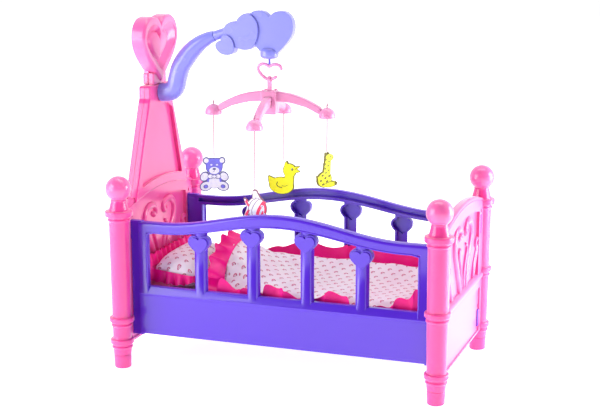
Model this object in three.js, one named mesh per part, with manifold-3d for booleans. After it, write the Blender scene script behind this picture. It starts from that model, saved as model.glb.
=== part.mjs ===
// A doll's cot with bedding and a hanging mobile. Millimetres, +Z up, origin on the floor under the middle.
// The head end is at -X, the front side rail at -Y.
import * as THREE from 'three';
import { mergeVertices } from 'three/addons/utils/BufferGeometryUtils.js';
import Module from 'manifold-3d';

const wasm = await Module();
wasm.setup();

// Driving dimensions
const GAP = 0.3; // clearance between pieces that touch
const POST_X = 220; // posts' axes
const POST_Y = 120.7;
const POST_TOP = 234.3;
const BORE_R = 8; // the posts are tubes
const SPIGOT_R = BORE_R - GAP;
const FOOT_H = 18.1;
const BALL_R = 17.2;
const BALL_Z = 248.2;
const BOARD_T = 12; // end boards, centred on the posts' axes
const BOARD_BOTTOM = 29;
const ARCH_TOP = 237.5;
const ARCH_SAG = 0.00133; // drop of the arch, per square millimetre
const CROSS_Z = 112; // middle of the cross rail
const RAIL_OUT = 101; // side rails' outer and inner faces, from the middle
const RAIL_IN = 89.5;
const RAIL_BOTTOM = 43.5;
const RAIL_HALF = 202; // half length of the raised panel
const WINDOW_HALF = 190;
const SILL_Z = 110.5;
const RAIL_TOP = 200; // at the ends; the middle rises in a wave
const WAVE_HALF = 170;
const TOWER_BACK = -228.6;
const TOWER_SEAM = -220;
const TOWER_FACE = -211;
const TOWER_TOP = 375;
const MOBILE_X = -49.2; // the mobile's upright axis
const HOOK_Z = 387.4; // lowest point of the hook's centreline, where the mobile hangs
const ARM_REACH = 79.7; // from that axis to each string
const CROSS_TURN = THREE.MathUtils.degToRad(6.3);
const CAP_R = 11.5;
const CAP_H = 14;
const STRING_R = 0.7;
const FIGURE_T = 3;
const BASE_Z = 55.5; // underside of the bed base
const MATTRESS_TOP = 88;

// Materials
function plastic(color, roughness = 0.3) {
  return () => new THREE.MeshStandardMaterial({ color, roughness, metalness: 0 });
}
const violet = plastic(0x7d7fd6);
const pink = plastic(0xf07fae);
const lilac = plastic(0xb3b6ea);
const palePink = plastic(0xf6c3d2);
const yellow = plastic(0xf2dc3e, 0.45);
const cotton = plastic(0xf4efef, 0.9);
const steel = () => new THREE.MeshStandardMaterial({ color: 0xb8bcc0, roughness: 0.35, metalness: 1 });

// Solids
function solid(geometry) {
  const bare = geometry.clone();
  bare.deleteAttribute('normal');
  bare.deleteAttribute('uv');
  const merged = mergeVertices(bare, 1e-4);
  const vertProperties = new Float32Array(merged.attributes.position.array);
  const triVerts = new Uint32Array(merged.index.array);
  const body = new wasm.Manifold(new wasm.Mesh({ numProp: 3, vertProperties, triVerts }));
  if (body.volume() > 0) return body;
  return new wasm.Manifold(new wasm.Mesh({ numProp: 3, vertProperties, triVerts: triVerts.reverse() }));
}

function join(...bodies) {
  return bodies.reduce((whole, body) => whole.add(body));
}

function piece(name, body, material) {
  const mesh = body.getMesh();
  const geometry = new THREE.BufferGeometry();
  geometry.setAttribute('position', new THREE.BufferAttribute(new Float32Array(mesh.vertProperties), 3));
  geometry.setIndex(new THREE.BufferAttribute(new Uint32Array(mesh.triVerts), 1));
  geometry.computeVertexNormals();
  const node = new THREE.Mesh(geometry, material());
  node.name = name;
  return node;
}

function box(x0, x1, y0, y1, z0, z1) {
  const geometry = new THREE.BoxGeometry(x1 - x0, y1 - y0, z1 - z0);
  return solid(geometry.translate((x0 + x1) / 2, (y0 + y1) / 2, (z0 + z1) / 2));
}

// A profile of [radius, z] pairs turned about the upright axis
function turned(profile, segments = 14) {
  const points = profile.map(([r, z]) => new THREE.Vector2(r, z));
  return solid(new THREE.LatheGeometry(points, segments).rotateX(Math.PI / 2));
}

// A shape drawn in x and z, spread from y0 to y1
function slabXZ(shape, y0, y1, curveSegments = 8) {
  const options = { depth: y1 - y0, bevelEnabled: false, curveSegments };
  return solid(new THREE.ExtrudeGeometry(shape, options).rotateX(Math.PI / 2).translate(0, y1, 0));
}

// A shape drawn in y and z, spread from x0 to x1
function slabYZ(shape, x0, x1, curveSegments = 8) {
  const options = { depth: x1 - x0, bevelEnabled: false, curveSegments };
  const turn = new THREE.Matrix4().set(0, 0, 1, x0, 1, 0, 0, 0, 0, 1, 0, 0, 0, 0, 0, 1);
  return solid(new THREE.ExtrudeGeometry(shape, options).applyMatrix4(turn));
}

function outline(pairs) {
  return new THREE.Shape(pairs.map(([a, b]) => new THREE.Vector2(a, b)));
}

function ellipse(a, b, ra, rb) {
  return new THREE.Shape().absellipse(a, b, ra, rb, 0, 2 * Math.PI, false, 0);
}

// A heart with its tip at (0, 0), half width w, lobes to height h, notch at n and widest at m
function heart(w, h, n, m, blunt = false) {
  const waist = (blunt ? 0.5 : 0.62) * m;
  const [pullY, pullZ] = blunt ? [0.36 * w, 0] : [0.35 * w, 0.27 * m];
  const shape = new THREE.Shape();
  shape.moveTo(0, n);
  shape.bezierCurveTo(0.1 * w, n + 0.8 * (h - n), 0.28 * w, h, 0.5 * w, h);
  shape.bezierCurveTo(0.8 * w, h, w, m + 0.55 * (h - m), w, m);
  shape.bezierCurveTo(w, waist, pullY, pullZ, 0, 0);
  shape.bezierCurveTo(-pullY, pullZ, -w, waist, -w, m);
  shape.bezierCurveTo(-w, m + 0.55 * (h - m), -0.8 * w, h, -0.5 * w, h);
  shape.bezierCurveTo(-0.28 * w, h, -0.1 * w, n + 0.8 * (h - n), 0, n);
  return shape;
}

// A round tube along a curve, its radius given by the fraction of the way along
function tube(curve, radiusAt, steps, sides = 12) {
  const section = new THREE.Shape().absarc(0, 0, 1, 0, 2 * Math.PI, false);
  const options = { steps, extrudePath: curve, curveSegments: sides / 2, bevelEnabled: false };
  const geometry = new THREE.ExtrudeGeometry(section, options);
  const centres = curve.getSpacedPoints(steps);
  const position = geometry.attributes.position;
  const point = new THREE.Vector3();
  for (let i = 0; i < position.count; i++) {
    point.fromBufferAttribute(position, i);
    let nearest = 0;
    centres.forEach((centre, k) => {
      if (centre.distanceTo(point) < centres[nearest].distanceTo(point)) nearest = k;
    });
    point.sub(centres[nearest]).multiplyScalar(radiusAt(nearest / steps)).add(centres[nearest]);
    position.setXYZ(i, point.x, point.y, point.z);
  }
  return solid(geometry);
}

// Posts, feet and ball finials
function collar(z, r, shaft, half, grow) {
  return [
    [shaft + grow, z - half - 5.5 - grow],
    [shaft + 1.2 + grow, z - half - 4 - grow],
    [shaft + grow, z - half - grow],
    [r + grow, z - 0.6 * half - grow],
    [r + grow, z + 0.6 * half + grow],
    [shaft + grow, z + half + grow],
  ];
}

function postProfile(midCollar, grow = 0) {
  const shaftAt = (z) => 12.6 + (2.2 * (z - 42)) / 160;
  return [
    [12 + grow, FOOT_H + GAP],
    ...collar(37.5, 16, 13, 3.6, grow),
    ...collar(midCollar, 16.8, shaftAt(midCollar), 3.4, grow),
    ...collar(215, 18.7, 14.2, 4, grow),
    [13 + grow, 220.5 + grow],
    [10.5 + grow, 231],
    [10.5 + grow, POST_TOP],
  ];
}

const TENONS = [[60, 90], [150, 190]];
const TENON_HALF_T = 3;
const TENON_REACH = POST_Y - 7.2;

function post(x, y, midCollar) {
  const profile = [[BORE_R, FOOT_H + GAP], ...postProfile(midCollar), [BORE_R, POST_TOP]];
  let body = turned([...profile, profile[0]]).translate([x, y, 0]);
  const side = Math.sign(y);
  TENONS.forEach(([z0, z1]) => {
    const ends = [side * (TENON_REACH - 12), side * (TENON_REACH + 1)].sort((a, b) => a - b);
    const half = TENON_HALF_T + GAP;
    body = body.subtract(box(x - half, x + half, ends[0], ends[1], z0 - GAP, z1 + GAP));
  });
  return body;
}

function foot(x, y) {
  const profile = [[0, 0], [10.5, 0], [11.5, 1], [12, FOOT_H], [SPIGOT_R, FOOT_H], [SPIGOT_R, 30], [0, 30]];
  return turned(profile).translate([x, y, 0]);
}

function ballFinial(x, y) {
  const seat = POST_TOP + GAP;
  const profile = [[0, 224], [SPIGOT_R, 224], [SPIGOT_R, seat]];
  const low = Math.asin((seat - BALL_Z) / BALL_R);
  const rings = 7;
  for (let i = 0; i <= rings; i++) {
    const angle = low + ((Math.PI / 2 - low) * i) / rings;
    profile.push([i === rings ? 0 : BALL_R * Math.cos(angle), BALL_Z + BALL_R * Math.sin(angle)]);
  }
  return turned(profile).translate([x, y, 0]);
}

// End boards
const archAt = (y, top = ARCH_TOP) => top - ARCH_SAG * y * y;
const TAB_Y = [90, 98.5];
const TABS = [[41, 65], [175, 201]];

function archedOutline(top, half, bottom, count) {
  const points = [[-half, bottom], [half, bottom]];
  for (let i = 0; i <= count; i++) {
    const y = half - (2 * half * i) / count;
    points.push([y, archAt(y, top)]);
  }
  return outline(points);
}

const SCROLL = [
  [44, 119], [47, 150], [49, 167], [54, 183], [52.5, 195], [42.5, 206], [31, 211.5], [12, 209], [6, 200],
  [11, 189], [21, 186], [28, 194], [30, 180], [20, 162], [8, 150], [5, 135], [16, 119],
];

function mirrored(pairs) {
  return pairs.map(([y, z]) => [-y, z]).reverse();
}

// One end board; towards is +1 at the foot end and -1 at the head end
function endBoard(towards) {
  const x0 = towards * POST_X - BOARD_T / 2;
  const x1 = x0 + BOARD_T;
  const web = 4; // thickness left behind the scrollwork
  const plate = slabYZ(archedOutline(ARCH_TOP, POST_Y, BOARD_BOTTOM, 24), x0, x1);
  const fieldShape = archedOutline(217, 80, CROSS_Z + 7, 14);
  let body = plate;
  [[x0 - 1, x0 + (BOARD_T - web) / 2], [x1 - (BOARD_T - web) / 2, x1 + 1]].forEach(([a, b]) => {
    body = body.subtract(slabYZ(fieldShape, a, b));
  });
  [[x0 - 1, x0 + 2], [x1 - 2, x1 + 1]].forEach(([a, b]) => {
    body = body.subtract(box(a, b, -98, 98, BOARD_BOTTOM + 6, CROSS_Z - 15));
  });
  [SCROLL, mirrored(SCROLL)].forEach((pairs) => {
    body = body.add(slabYZ(outline(pairs), x0 + 0.5, x1 - 0.5));
  });
  const bead = new THREE.CylinderGeometry(8, 8, 2 * POST_Y, 12).scale(1, 1, 7 / 8);
  body = body.add(solid(bead.translate(towards * POST_X, 0, CROSS_Z)));
  const midCollar = towards > 0 ? 118 : 68;
  const inner = [towards * (POST_X - BOARD_T / 2), towards * (POST_X - BOARD_T)].sort((a, b) => a - b);
  [-1, 1].forEach((side) => {
    const beadEnd = [side * (RAIL_IN - 1), side * POST_Y].sort((a, b) => a - b);
    body = body.subtract(box(inner[0], inner[1], beadEnd[0], beadEnd[1], CROSS_Z - 10, CROSS_Z + 10));
    const wall = postProfile(midCollar, GAP).map(([r, z], i) => [r, i === 0 ? 0 : z]);
    const bore = [[0, 0], ...wall, [0, POST_TOP]];
    bore[bore.length - 2][1] = POST_TOP + 30;
    bore[bore.length - 1][1] = POST_TOP + 30;
    body = body.subtract(turned(bore).translate([towards * POST_X, side * POST_Y, 0]));
    const [near, far] = [side * TAB_Y[0], side * TAB_Y[1]].sort((a, b) => a - b);
    TABS.forEach(([z0, z1]) => {
      body = body.subtract(box(x0 - 4, x1 + 4, near - GAP, far + GAP, z0 - GAP, z1 + GAP));
      body = body.subtract(box(x0 - 4, x1 + 4, near + 3, far - 2, z1 + 3, z1 + 8));
    });
  });
  TENONS.forEach(([z0, z1]) => {
    const half = TENON_HALF_T;
    [-1, 1].forEach((side) => {
      const ends = [side * (TENON_REACH - 12), side * TENON_REACH].sort((a, b) => a - b);
      body = body.add(box(towards * POST_X - half, towards * POST_X + half, ends[0], ends[1], z0, z1));
    });
  });
  return body;
}

// Side rails
const BALUSTERS = [-113, -37.7, 37.7, 113];
const wave = (x) => (Math.abs(x) < WAVE_HALF ? 0.5 * (1 + Math.cos((Math.PI * x) / WAVE_HALF)) : 0);

function sideRail(side) {
  const upper = [];
  const lower = [];
  const count = 28;
  for (let i = 0; i <= count; i++) {
    const x = -RAIL_HALF + (2 * RAIL_HALF * i) / count;
    const corner = i === 0 || i === count ? 5 : 0;
    upper.push([x, RAIL_TOP + 22.5 * wave(x) - corner]);
    lower.push([x, 186 + 20.5 * wave(x)]);
  }
  const bandShape = outline([...lower, ...upper.reverse()]);
  const bodies = [slabXZ(bandShape, RAIL_IN, RAIL_OUT)];
  bodies.push(box(-RAIL_HALF, RAIL_HALF, RAIL_IN, RAIL_OUT, RAIL_BOTTOM, 97));
  const sill = outline([
    [RAIL_IN, 96], [RAIL_OUT, 96], [102, 99], [102, 101.5], [97, SILL_Z], [RAIL_IN, SILL_Z],
  ]);
  bodies.push(slabYZ(sill, -RAIL_HALF, RAIL_HALF));
  [-1, 1].forEach((end) => {
    const [s0, s1] = [end * WINDOW_HALF, end * RAIL_HALF].sort((a, b) => a - b);
    bodies.push(box(s0, s1, RAIL_IN, RAIL_OUT, 96, 190));
    const [t0, t1] = [end * (RAIL_HALF - 1), end * 213.7].sort((a, b) => a - b);
    bodies.push(box(t0, t1, RAIL_IN, TAB_Y[1], 46, 196));
    const [u0, u1] = [end * 213, end * (POST_X + BOARD_T / 2)].sort((a, b) => a - b);
    TABS.forEach(([z0, z1]) => bodies.push(box(u0, u1, TAB_Y[0], TAB_Y[1], z0, z1)));
    TABS.forEach(([z0, z1]) => {
      const stem = [end * (RAIL_HALF - 1), end * 213.7].sort((a, b) => a - b);
      bodies.push(box(stem[0], stem[1], TAB_Y[0], TAB_Y[1], z0, z1));
    });
  });
  BALUSTERS.forEach((x, i) => {
    const inner = i === 1 || i === 2;
    const rod = new THREE.CylinderGeometry(9.2, 9.2, 92, 16).rotateX(Math.PI / 2).scale(1, 9 / 9.2, 1);
    const half = solid(rod.translate(x, 92, 153)).subtract(box(x - 20, x + 20, 70, 92, 90, 210));
    const top = 190 + 20.5 * wave(x);
    bodies.push(half.subtract(box(x - 20, x + 20, 80, 110, top, 230)));
    const shape = heart(15.8, 26.6, 24.4, 17.8);
    bodies.push(slabXZ(shape, 93, 104, 4).translate([x, 0, inner ? 174.8 : 161]));
  });
  // The ledge that the bed base rests on
  bodies.push(box(-WINDOW_HALF, WINDOW_HALF, 84, 92, BASE_Z - GAP - 4, BASE_Z - GAP));
  let body = join(...bodies);
  // The moulding is a shell, open towards the bed
  body = body.subtract(box(-196, 196, RAIL_IN - 1, 98, 62, 94));
  const channelUpper = [];
  const channelLower = [];
  for (let i = 0; i <= count; i++) {
    const x = -196 + (392 * i) / count;
    channelUpper.push([x, RAIL_TOP - 3.5 + 22.5 * wave(x)]);
    channelLower.push([x, 190 + 20.5 * wave(x)]);
  }
  body = body.subtract(slabXZ(outline([...channelLower, ...channelUpper.reverse()]), RAIL_IN - 1, 97));
  return side > 0 ? body : body.mirror([0, 1, 0]);
}

// Tower and its heart finial
const towerHalf = (z) => (z < 355 ? 87 - 0.388 * (z - 225) : 34.5);
const SCREWS = [[-52, 262], [52, 262], [-30, 330], [30, 330]];
const SCREW_R = 1.6;
const SCREW_HEAD_R = 3.4;
const PLUG_R = 7;
const PLUG_Z = 363;
const PRONG = { y0: 10, y1: 18, x0: -223, x1: -216.6, z0: 364 };

function towerOutline(inset, bottomDrop, top) {
  const points = [];
  const half = towerHalf(228) - inset;
  const count = 16;
  for (let i = 0; i <= count; i++) {
    const y = -half + (2 * half * i) / count;
    points.push([y, archAt(y) - bottomDrop]);
  }
  points.push([towerHalf(354) - inset, 354], [34.5 - inset, 358], [34.5 - inset, top - 2], [32.5 - inset, top]);
  points.push([inset - 32.5, top], [inset - 34.5, top - 2], [inset - 34.5, 358], [inset - towerHalf(354), 354]);
  return outline(points);
}

function towerCuts(body) {
  const boardRoom = archedOutline(ARCH_TOP + GAP, POST_Y, BOARD_BOTTOM, 24);
  let cut = body.subtract(slabYZ(boardRoom, -POST_X - BOARD_T / 2 - GAP, -POST_X + BOARD_T / 2 + GAP));
  [-1, 1].forEach((side) => {
    const [y0, y1] = [side * PRONG.y0, side * PRONG.y1].sort((a, b) => a - b);
    const room = box(PRONG.x0 - GAP, PRONG.x1 + GAP, y0 - GAP, y1 + GAP, PRONG.z0 - GAP, TOWER_TOP + 5);
    cut = cut.subtract(room);
  });
  return cut;
}

function alongX(r, x0, x1, y, z, sides = 16) {
  const rod = new THREE.CylinderGeometry(r, r, x1 - x0, sides).rotateZ(Math.PI / 2);
  return solid(rod.translate((x0 + x1) / 2, y, z));
}

function towerFront() {
  let body = slabYZ(towerOutline(0, 6, TOWER_TOP), TOWER_SEAM + GAP / 2, TOWER_FACE);
  const panel = [];
  for (let i = 0; i <= 10; i++) {
    const y = -66 + 13.2 * i;
    panel.push([y, archAt(y) + 7]);
  }
  panel.push([towerHalf(340) - 6, 340], [24, 346], [-24, 346], [6 - towerHalf(340), 340]);
  body = body.subtract(slabYZ(outline(panel), TOWER_FACE - 5, TOWER_FACE + 1));
  body = towerCuts(body);
  body = body.subtract(alongX(PLUG_R + GAP, TOWER_SEAM - 1, TOWER_FACE + 1, 0, PLUG_Z));
  SCREWS.forEach(([y, z]) => {
    body = body.subtract(alongX(SCREW_R + GAP, TOWER_SEAM - 1, TOWER_SEAM + 2.4, y, z, 10));
  });
  return body;
}

function towerRear() {
  const seam = TOWER_SEAM - GAP / 2;
  let body = slabYZ(towerOutline(0, 6, TOWER_TOP), TOWER_BACK, seam);
  const pocket = slabYZ(towerOutline(5, -6, 345), TOWER_BACK + 3, seam + 1);
  body = body.subtract(pocket);
  SCREWS.forEach(([y, z]) => {
    body = body.add(alongX(6, TOWER_BACK + 2, seam, y, z, 12));
    body = body.subtract(alongX(SCREW_R + GAP, TOWER_BACK - 1, seam + 1, y, z, 10));
    body = body.subtract(alongX(SCREW_HEAD_R + GAP, TOWER_BACK - 1, TOWER_BACK + 3, y, z, 12));
  });
  body = towerCuts(body);
  return body.subtract(alongX(PLUG_R + GAP, TOWER_SEAM - 4, TOWER_SEAM + 1, 0, PLUG_Z));
}

function towerScrew(y, z) {
  const head = alongX(SCREW_HEAD_R, TOWER_BACK + 0.6, TOWER_BACK + 2.7, y, z, 12);
  return head.add(alongX(SCREW_R, TOWER_BACK + 2, TOWER_SEAM + 2, y, z, 10));
}

function heartFinial() {
  const tip = 379;
  const x0 = -229.6;
  const x1 = -208;
  const recessDepth = 10;
  let body = slabYZ(heart(53.5, 90.5, 79, 62), x0, x1, 10).translate([0, 0, tip]);
  const recess = slabYZ(heart(47, 64, 49, 47), x1 - recessDepth, x1 + 1, 8);
  body = body.subtract(recess.translate([0, 0, tip + 15]));
  body = body.add(box(TOWER_BACK, -212, -20.5, 20.5, TOWER_TOP + GAP, 400));
  [-1, 1].forEach((side) => {
    const [y0, y1] = [side * PRONG.y0, side * PRONG.y1].sort((a, b) => a - b);
    body = body.add(box(PRONG.x0, PRONG.x1, y0, y1, PRONG.z0, TOWER_TOP + 2));
  });
  return body;
}

// Arm and the heart bracket on its end
const ARM_ROUTE = [
  [-212.5, PLUG_Z], [-201, 363.8], [-192, 367], [-187.5, 374], [-185, 384], [-179.5, 400.5], [-167, 418],
  [-153, 431.3],
  [-141.5, 438.5], [-136, 441.2], [-128.5, 443.8],
];
const ARM_R = 13.4; // in its lower half; the upper half tapers
const ARM_END_R = 7.2;
const SOCKET_END = [-128.5, 443.8];
const SOCKET_ANGLE = THREE.MathUtils.degToRad(19);

function armRadius(t) {
  const taper = Math.max(0, (t - 0.55) / 0.45) ** 1.6;
  return ARM_R - (ARM_R - ARM_END_R) * taper;
}

// A round bar along the arm's end direction, between two distances from the arm's end
function alongSocket(r, from, to) {
  const rod = new THREE.CylinderGeometry(r, r, to - from, 14).translate(0, (from + to) / 2, 0);
  rod.rotateZ(-Math.PI / 2).rotateY(-SOCKET_ANGLE);
  return solid(rod.translate(SOCKET_END[0], 0, SOCKET_END[1]));
}

function mobileArm() {
  const curve = new THREE.CatmullRomCurve3(ARM_ROUTE.map(([x, z]) => new THREE.Vector3(x, 0, z)));
  let body = tube(curve, armRadius, 24, 12);
  body = body.subtract(box(-230, TOWER_FACE + GAP, -20, 20, 340, 385));
  body = body.add(alongX(PLUG_R, TOWER_SEAM - 3, TOWER_FACE + 6, 0, PLUG_Z));
  return body.subtract(alongSocket(5, -12, 6));
}

const KNOB_TOP = 429;
const KNOB_BOTTOM = 416;
const PIN_R = 3;
const STEM_R = 1.5;
const HEAD_Z = 420;
const PIN_TOP = 424.7;
const PIN_BOTTOM = 408.2;

// A heart plate whose tip is at (tipX, tipZ), leaning to -X by the given angle
function tiltedHeart([w, h, n, m], tipX, tipZ, angle, y0, y1) {
  const body = slabXZ(heart(w, h, n, m, true), y0, y1, 6);
  return body.rotate([0, -angle, 0]).translate([tipX, 0, tipZ]);
}

function heartBracket() {
  const large = slabXZ(heart(34, 67, 58, 45), -6, 6, 6).translate([-47.3, 0, 413]);
  const medium = tiltedHeart([25.5, 45.5, 40.5, 29], -73, 428.7, 30, -9, 5.5);
  const small = tiltedHeart([13, 26.5, 23.5, 16], -98.2, 422.1, 47, -12, 5);
  const knob = turned([
    [0, KNOB_BOTTOM], [9.5, KNOB_BOTTOM], [12.5, KNOB_BOTTOM + 3.5], [12.5, KNOB_TOP - 3], [10, KNOB_TOP],
    [0, KNOB_TOP],
  ]).translate([MOBILE_X, 0, 0]);
  const neck = box(-104, -62, -5, 5, 434, 448);
  const plates = large.subtract(box(-100, 0, -20, 20, 400, KNOB_BOTTOM + 2));
  let body = join(plates, medium, small, knob, neck, alongSocket(4.7, -9, 18), alongSocket(6.4, GAP, 14));
  const hole = [
    [0, KNOB_BOTTOM - 1], [STEM_R + GAP, KNOB_BOTTOM - 1], [STEM_R + GAP, HEAD_Z - GAP], [PIN_R + GAP, HEAD_Z - GAP],
    [PIN_R + GAP, PIN_TOP + GAP], [0, PIN_TOP + GAP],
  ];
  body = body.subtract(turned(hole).translate([MOBILE_X, 0, 0]));
  return body;
}

// Headed swivel pin, held in the knob, and the open heart hook below it
function hangerPin() {
  return turned([
    [0, PIN_BOTTOM], [STEM_R, PIN_BOTTOM], [STEM_R, HEAD_Z], [PIN_R, HEAD_Z], [PIN_R, PIN_TOP], [0, PIN_TOP],
  ], 16).translate([MOBILE_X, 0, 0]);
}

const HOOK_R = 2.2;
const HOOK_ROUTE = [
  [17, 402.5], [15.2, 406.3], [10, 408], [4.4, 407.4], [0, 405.2], [-4.4, 407.4], [-10, 408.2], [-15, 405.6],
  [-16.2, 400.5], [-12.5, 394.5], [-7, 389.8], [-2.5, HOOK_Z + 0.3], [0, HOOK_Z], [2.5, HOOK_Z + 0.3], [9.2, 391],
];

function heartHook() {
  const points = HOOK_ROUTE.map(([x, z]) => new THREE.Vector3(MOBILE_X + x, 0, z));
  return tube(new THREE.CatmullRomCurve3(points), () => HOOK_R, 36, 8);
}

// Mobile: a hub with two crossing bars and four caps
const HUB_HALF = 10.5;
const BAR_HALF = 5;
const BAR_B_DROP = 7;
const HUB_BOTTOM = 341;
const HUB_TOP = 373;
const CAP_RIM = [337.8, 337.8 - BAR_B_DROP];

// One wing of a bar, from the middle out to the cap, drawn in distance and height
function wingOutline(drop, reach) {
  const upper = [
    [0, 371.8], [14, 371.8], [30, 369.4], [41, 366.5], [50, 363], [59, 358.8], [66, 355], [reach, 350.5],
  ];
  const lower = [[reach, 339.5], [64, 345], [52, 351], [41, 354], [28, 357], [14, 358], [0, 358]];
  return [...upper, ...lower].map(([r, z]) => [r, z - drop]);
}

function capDome(rim, grow) {
  const points = [[0, rim - grow], [CAP_R + grow, rim - grow]];
  const rings = 5;
  for (let i = 0; i <= rings; i++) {
    const angle = (Math.PI / 2) * (i / rings);
    const r = i === rings ? 0 : (CAP_R + grow) * Math.cos(angle);
    points.push([r, rim + 2 + (CAP_H - 2 + grow) * Math.sin(angle)]);
  }
  return turned(points);
}

function bar(drop) {
  const reach = ARM_REACH;
  const rim = CAP_RIM[drop > 0 ? 1 : 0];
  const wing = wingOutline(drop, reach);
  const body = slabXZ(outline(wing), -BAR_HALF, BAR_HALF);
  const whole = body.add(body.mirror([1, 0, 0]));
  return whole
    .subtract(capDome(rim, GAP).translate([reach, 0, 0]))
    .subtract(capDome(rim, GAP).translate([-reach, 0, 0]));
}

function turnedToCross(body, extra) {
  return body.rotate([0, 0, THREE.MathUtils.radToDeg(CROSS_TURN + extra)]).translate([MOBILE_X, 0, 0]);
}

function longBar() {
  const hub = box(-HUB_HALF, HUB_HALF, -HUB_HALF, HUB_HALF, HUB_BOTTOM, HUB_TOP);
  const slot = { z0: 358 - BAR_B_DROP - GAP, z1: 371.8 - BAR_B_DROP + GAP, half: BAR_HALF + GAP };
  const slotBody = box(-slot.half, slot.half, -20, 20, slot.z0, slot.z1);
  const whole = turnedToCross(join(bar(0), hub).subtract(slotBody), 0);
  const eyeShape = outline([[-4.2, 368], [-4.2, 388.5], [-2, 392.3], [2, 392.3], [4.2, 388.5], [4.2, 368]]);
  const eyeHole = outline([[-2.5, 375], [2.5, 375], [2.5, 388.6], [1.4, 390.6], [-1.4, 390.6], [-2.5, 388.6]]);
  const eye = slabYZ(eyeShape, -2, 2).subtract(slabYZ(eyeHole, -3, 3));
  return whole.add(eye.translate([MOBILE_X, 0, 0]));
}

function shortBar() {
  return turnedToCross(bar(BAR_B_DROP), Math.PI / 2);
}

// The four hanging points: name, turn around the hub, which bar, and the top of the figure
const HANGERS = [
  { name: 'bear', turn: CROSS_TURN + Math.PI, bar: 0, top: 278, facing: 23 },
  { name: 'fish', turn: CROSS_TURN - Math.PI / 2, bar: 1, top: 252, facing: 0 },
  { name: 'giraffe', turn: CROSS_TURN, bar: 0, top: 291, facing: 60 },
  { name: 'duck', turn: CROSS_TURN + Math.PI / 2, bar: 1, top: 262, facing: 0 },
];

function hangerPlace(hanger) {
  return [MOBILE_X + ARM_REACH * Math.cos(hanger.turn), ARM_REACH * Math.sin(hanger.turn)];
}

function cap(hanger) {
  const rim = CAP_RIM[hanger.bar];
  const neck = rim + CAP_H - 2.5;
  const hole = [
    [0, rim - 1], [8, rim - 1], [8, rim + 1.5], [3.6, rim + 5], [1.35, neck], [1.35, neck + 4], [0, neck + 4],
  ];
  const [x, y] = hangerPlace(hanger);
  return capDome(rim, 0).subtract(turned(hole, 10)).translate([x, y, 0]);
}

function hangingString(hanger) {
  const [x, y] = hangerPlace(hanger);
  const capTop = CAP_RIM[hanger.bar] + CAP_H;
  const knotZ = capTop + 2;
  const route = new THREE.LineCurve3(new THREE.Vector3(x, y, knotZ), new THREE.Vector3(x, y, hanger.top + GAP));
  const steps = Math.round((knotZ - hanger.top) / 4);
  const cord = tube(route, () => STRING_R, steps, 8);
  const knot = solid(new THREE.SphereGeometry(1.5, 8, 6).translate(x, y, knotZ));
  return cord.add(knot);
}

// Figures: flat cut-outs drawn in width and height from the lowest point
function flatUnion(shapes) {
  return join(...shapes.map((shape) => slabXZ(shape, -FIGURE_T / 2, FIGURE_T / 2, 7)));
}

const FIGURE_SHAPES = {
  bear: () => [
    ellipse(0, 34, 14, 11.6), ellipse(-11.6, 43, 4.9, 4.9), ellipse(11.6, 43, 4.9, 4.9), ellipse(0, 16, 12, 13),
    ellipse(-14, 20, 6.5, 5.5), ellipse(14, 20, 6.5, 5.5), ellipse(-11.5, 7, 9, 7), ellipse(11.5, 7, 9, 7),
    outline([[-2, 40], [2, 40], [2, 48], [-2, 48]]),
  ],
  duck: () => [
    ellipse(-3, 14, 20, 14), ellipse(9, 33, 12, 12), outline([[-24.5, 26], [-22, 10], [-8, 22]]),
    outline([[15, 31], [24.5, 34], [19, 36.5], [24, 42], [13, 41]]), outline([[-2.5, 40], [5, 49], [9, 42]]),
    outline([[-2, 40], [2, 40], [2, 49], [-2, 49]]),
  ],
  fish: () => [
    ellipse(2.5, 19, 14, 16), outline([[-16.5, 6], [-4, 16], [-4, 24], [-16.5, 33], [-11, 20]]),
    outline([[-4, 30], [-2, 45], [2, 45], [10, 32]]), outline([[0, 6], [5, 0], [10, 8]]),
  ],
  giraffe: () => [
    ellipse(-5, 12, 13, 11), outline([[-8, 14], [4, 14], [6, 42], [-3, 43]]), ellipse(5, 42, 10, 5.5),
    ellipse(5, 4.5, 13, 4.5), outline([[-4, 43], [-2, 49], [2, 49], [3, 45]]),
    outline([[-19, 20], [-16, 8], [-10, 14]]),
  ],
};

function figure(hanger) {
  const height = { bear: 48, duck: 49, fish: 45, giraffe: 49 }[hanger.name];
  const [x, y] = hangerPlace(hanger);
  const body = flatUnion(FIGURE_SHAPES[hanger.name]());
  return body.rotate([0, 0, hanger.facing]).translate([x, y, hanger.top - height]);
}

// Bedding
function bedBase() {
  return box(-205, 205, -88.5, 88.5, BASE_Z, BASE_Z + 3);
}

function mattress() {
  return box(-204, 204, -86, 86, BASE_Z + 3 + GAP, MATTRESS_TOP);
}

function quilt() {
  const z0 = MATTRESS_TOP + GAP;
  const section = outline([
    [-84, z0], [84, z0], [86, 100], [86, 128], [83, 139], [79, 141], [72, 132], [55, 120], [25, 112], [0, 110],
    [-50, 108], [-74, 112], [-78, 120], [-82, 122], [-86, 116], [-86, 98],
  ]);
  const ridge = outline([
    [-122, 100], [-123, 160], [-118, 174], [-111, 177], [-104, 170], [-88, 150], [-70, 125], [-55, 110], [-55, 100],
  ]);
  return slabYZ(section, -122, 204).add(slabXZ(ridge, -76, 80));
}

function pillow() {
  const z0 = MATTRESS_TOP + GAP;
  const side = outline([
    [-207, z0], [-132, z0], [-127, 94], [-126, 104], [-130, 128], [-138, 140], [-160, 147], [-190, 150],
    [-200, 160], [-207, 160], [-209, 150], [-209, 96],
  ]);
  return slabXZ(side, -80, 80);
}

// Assembly
const cot = new THREE.Group();

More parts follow.
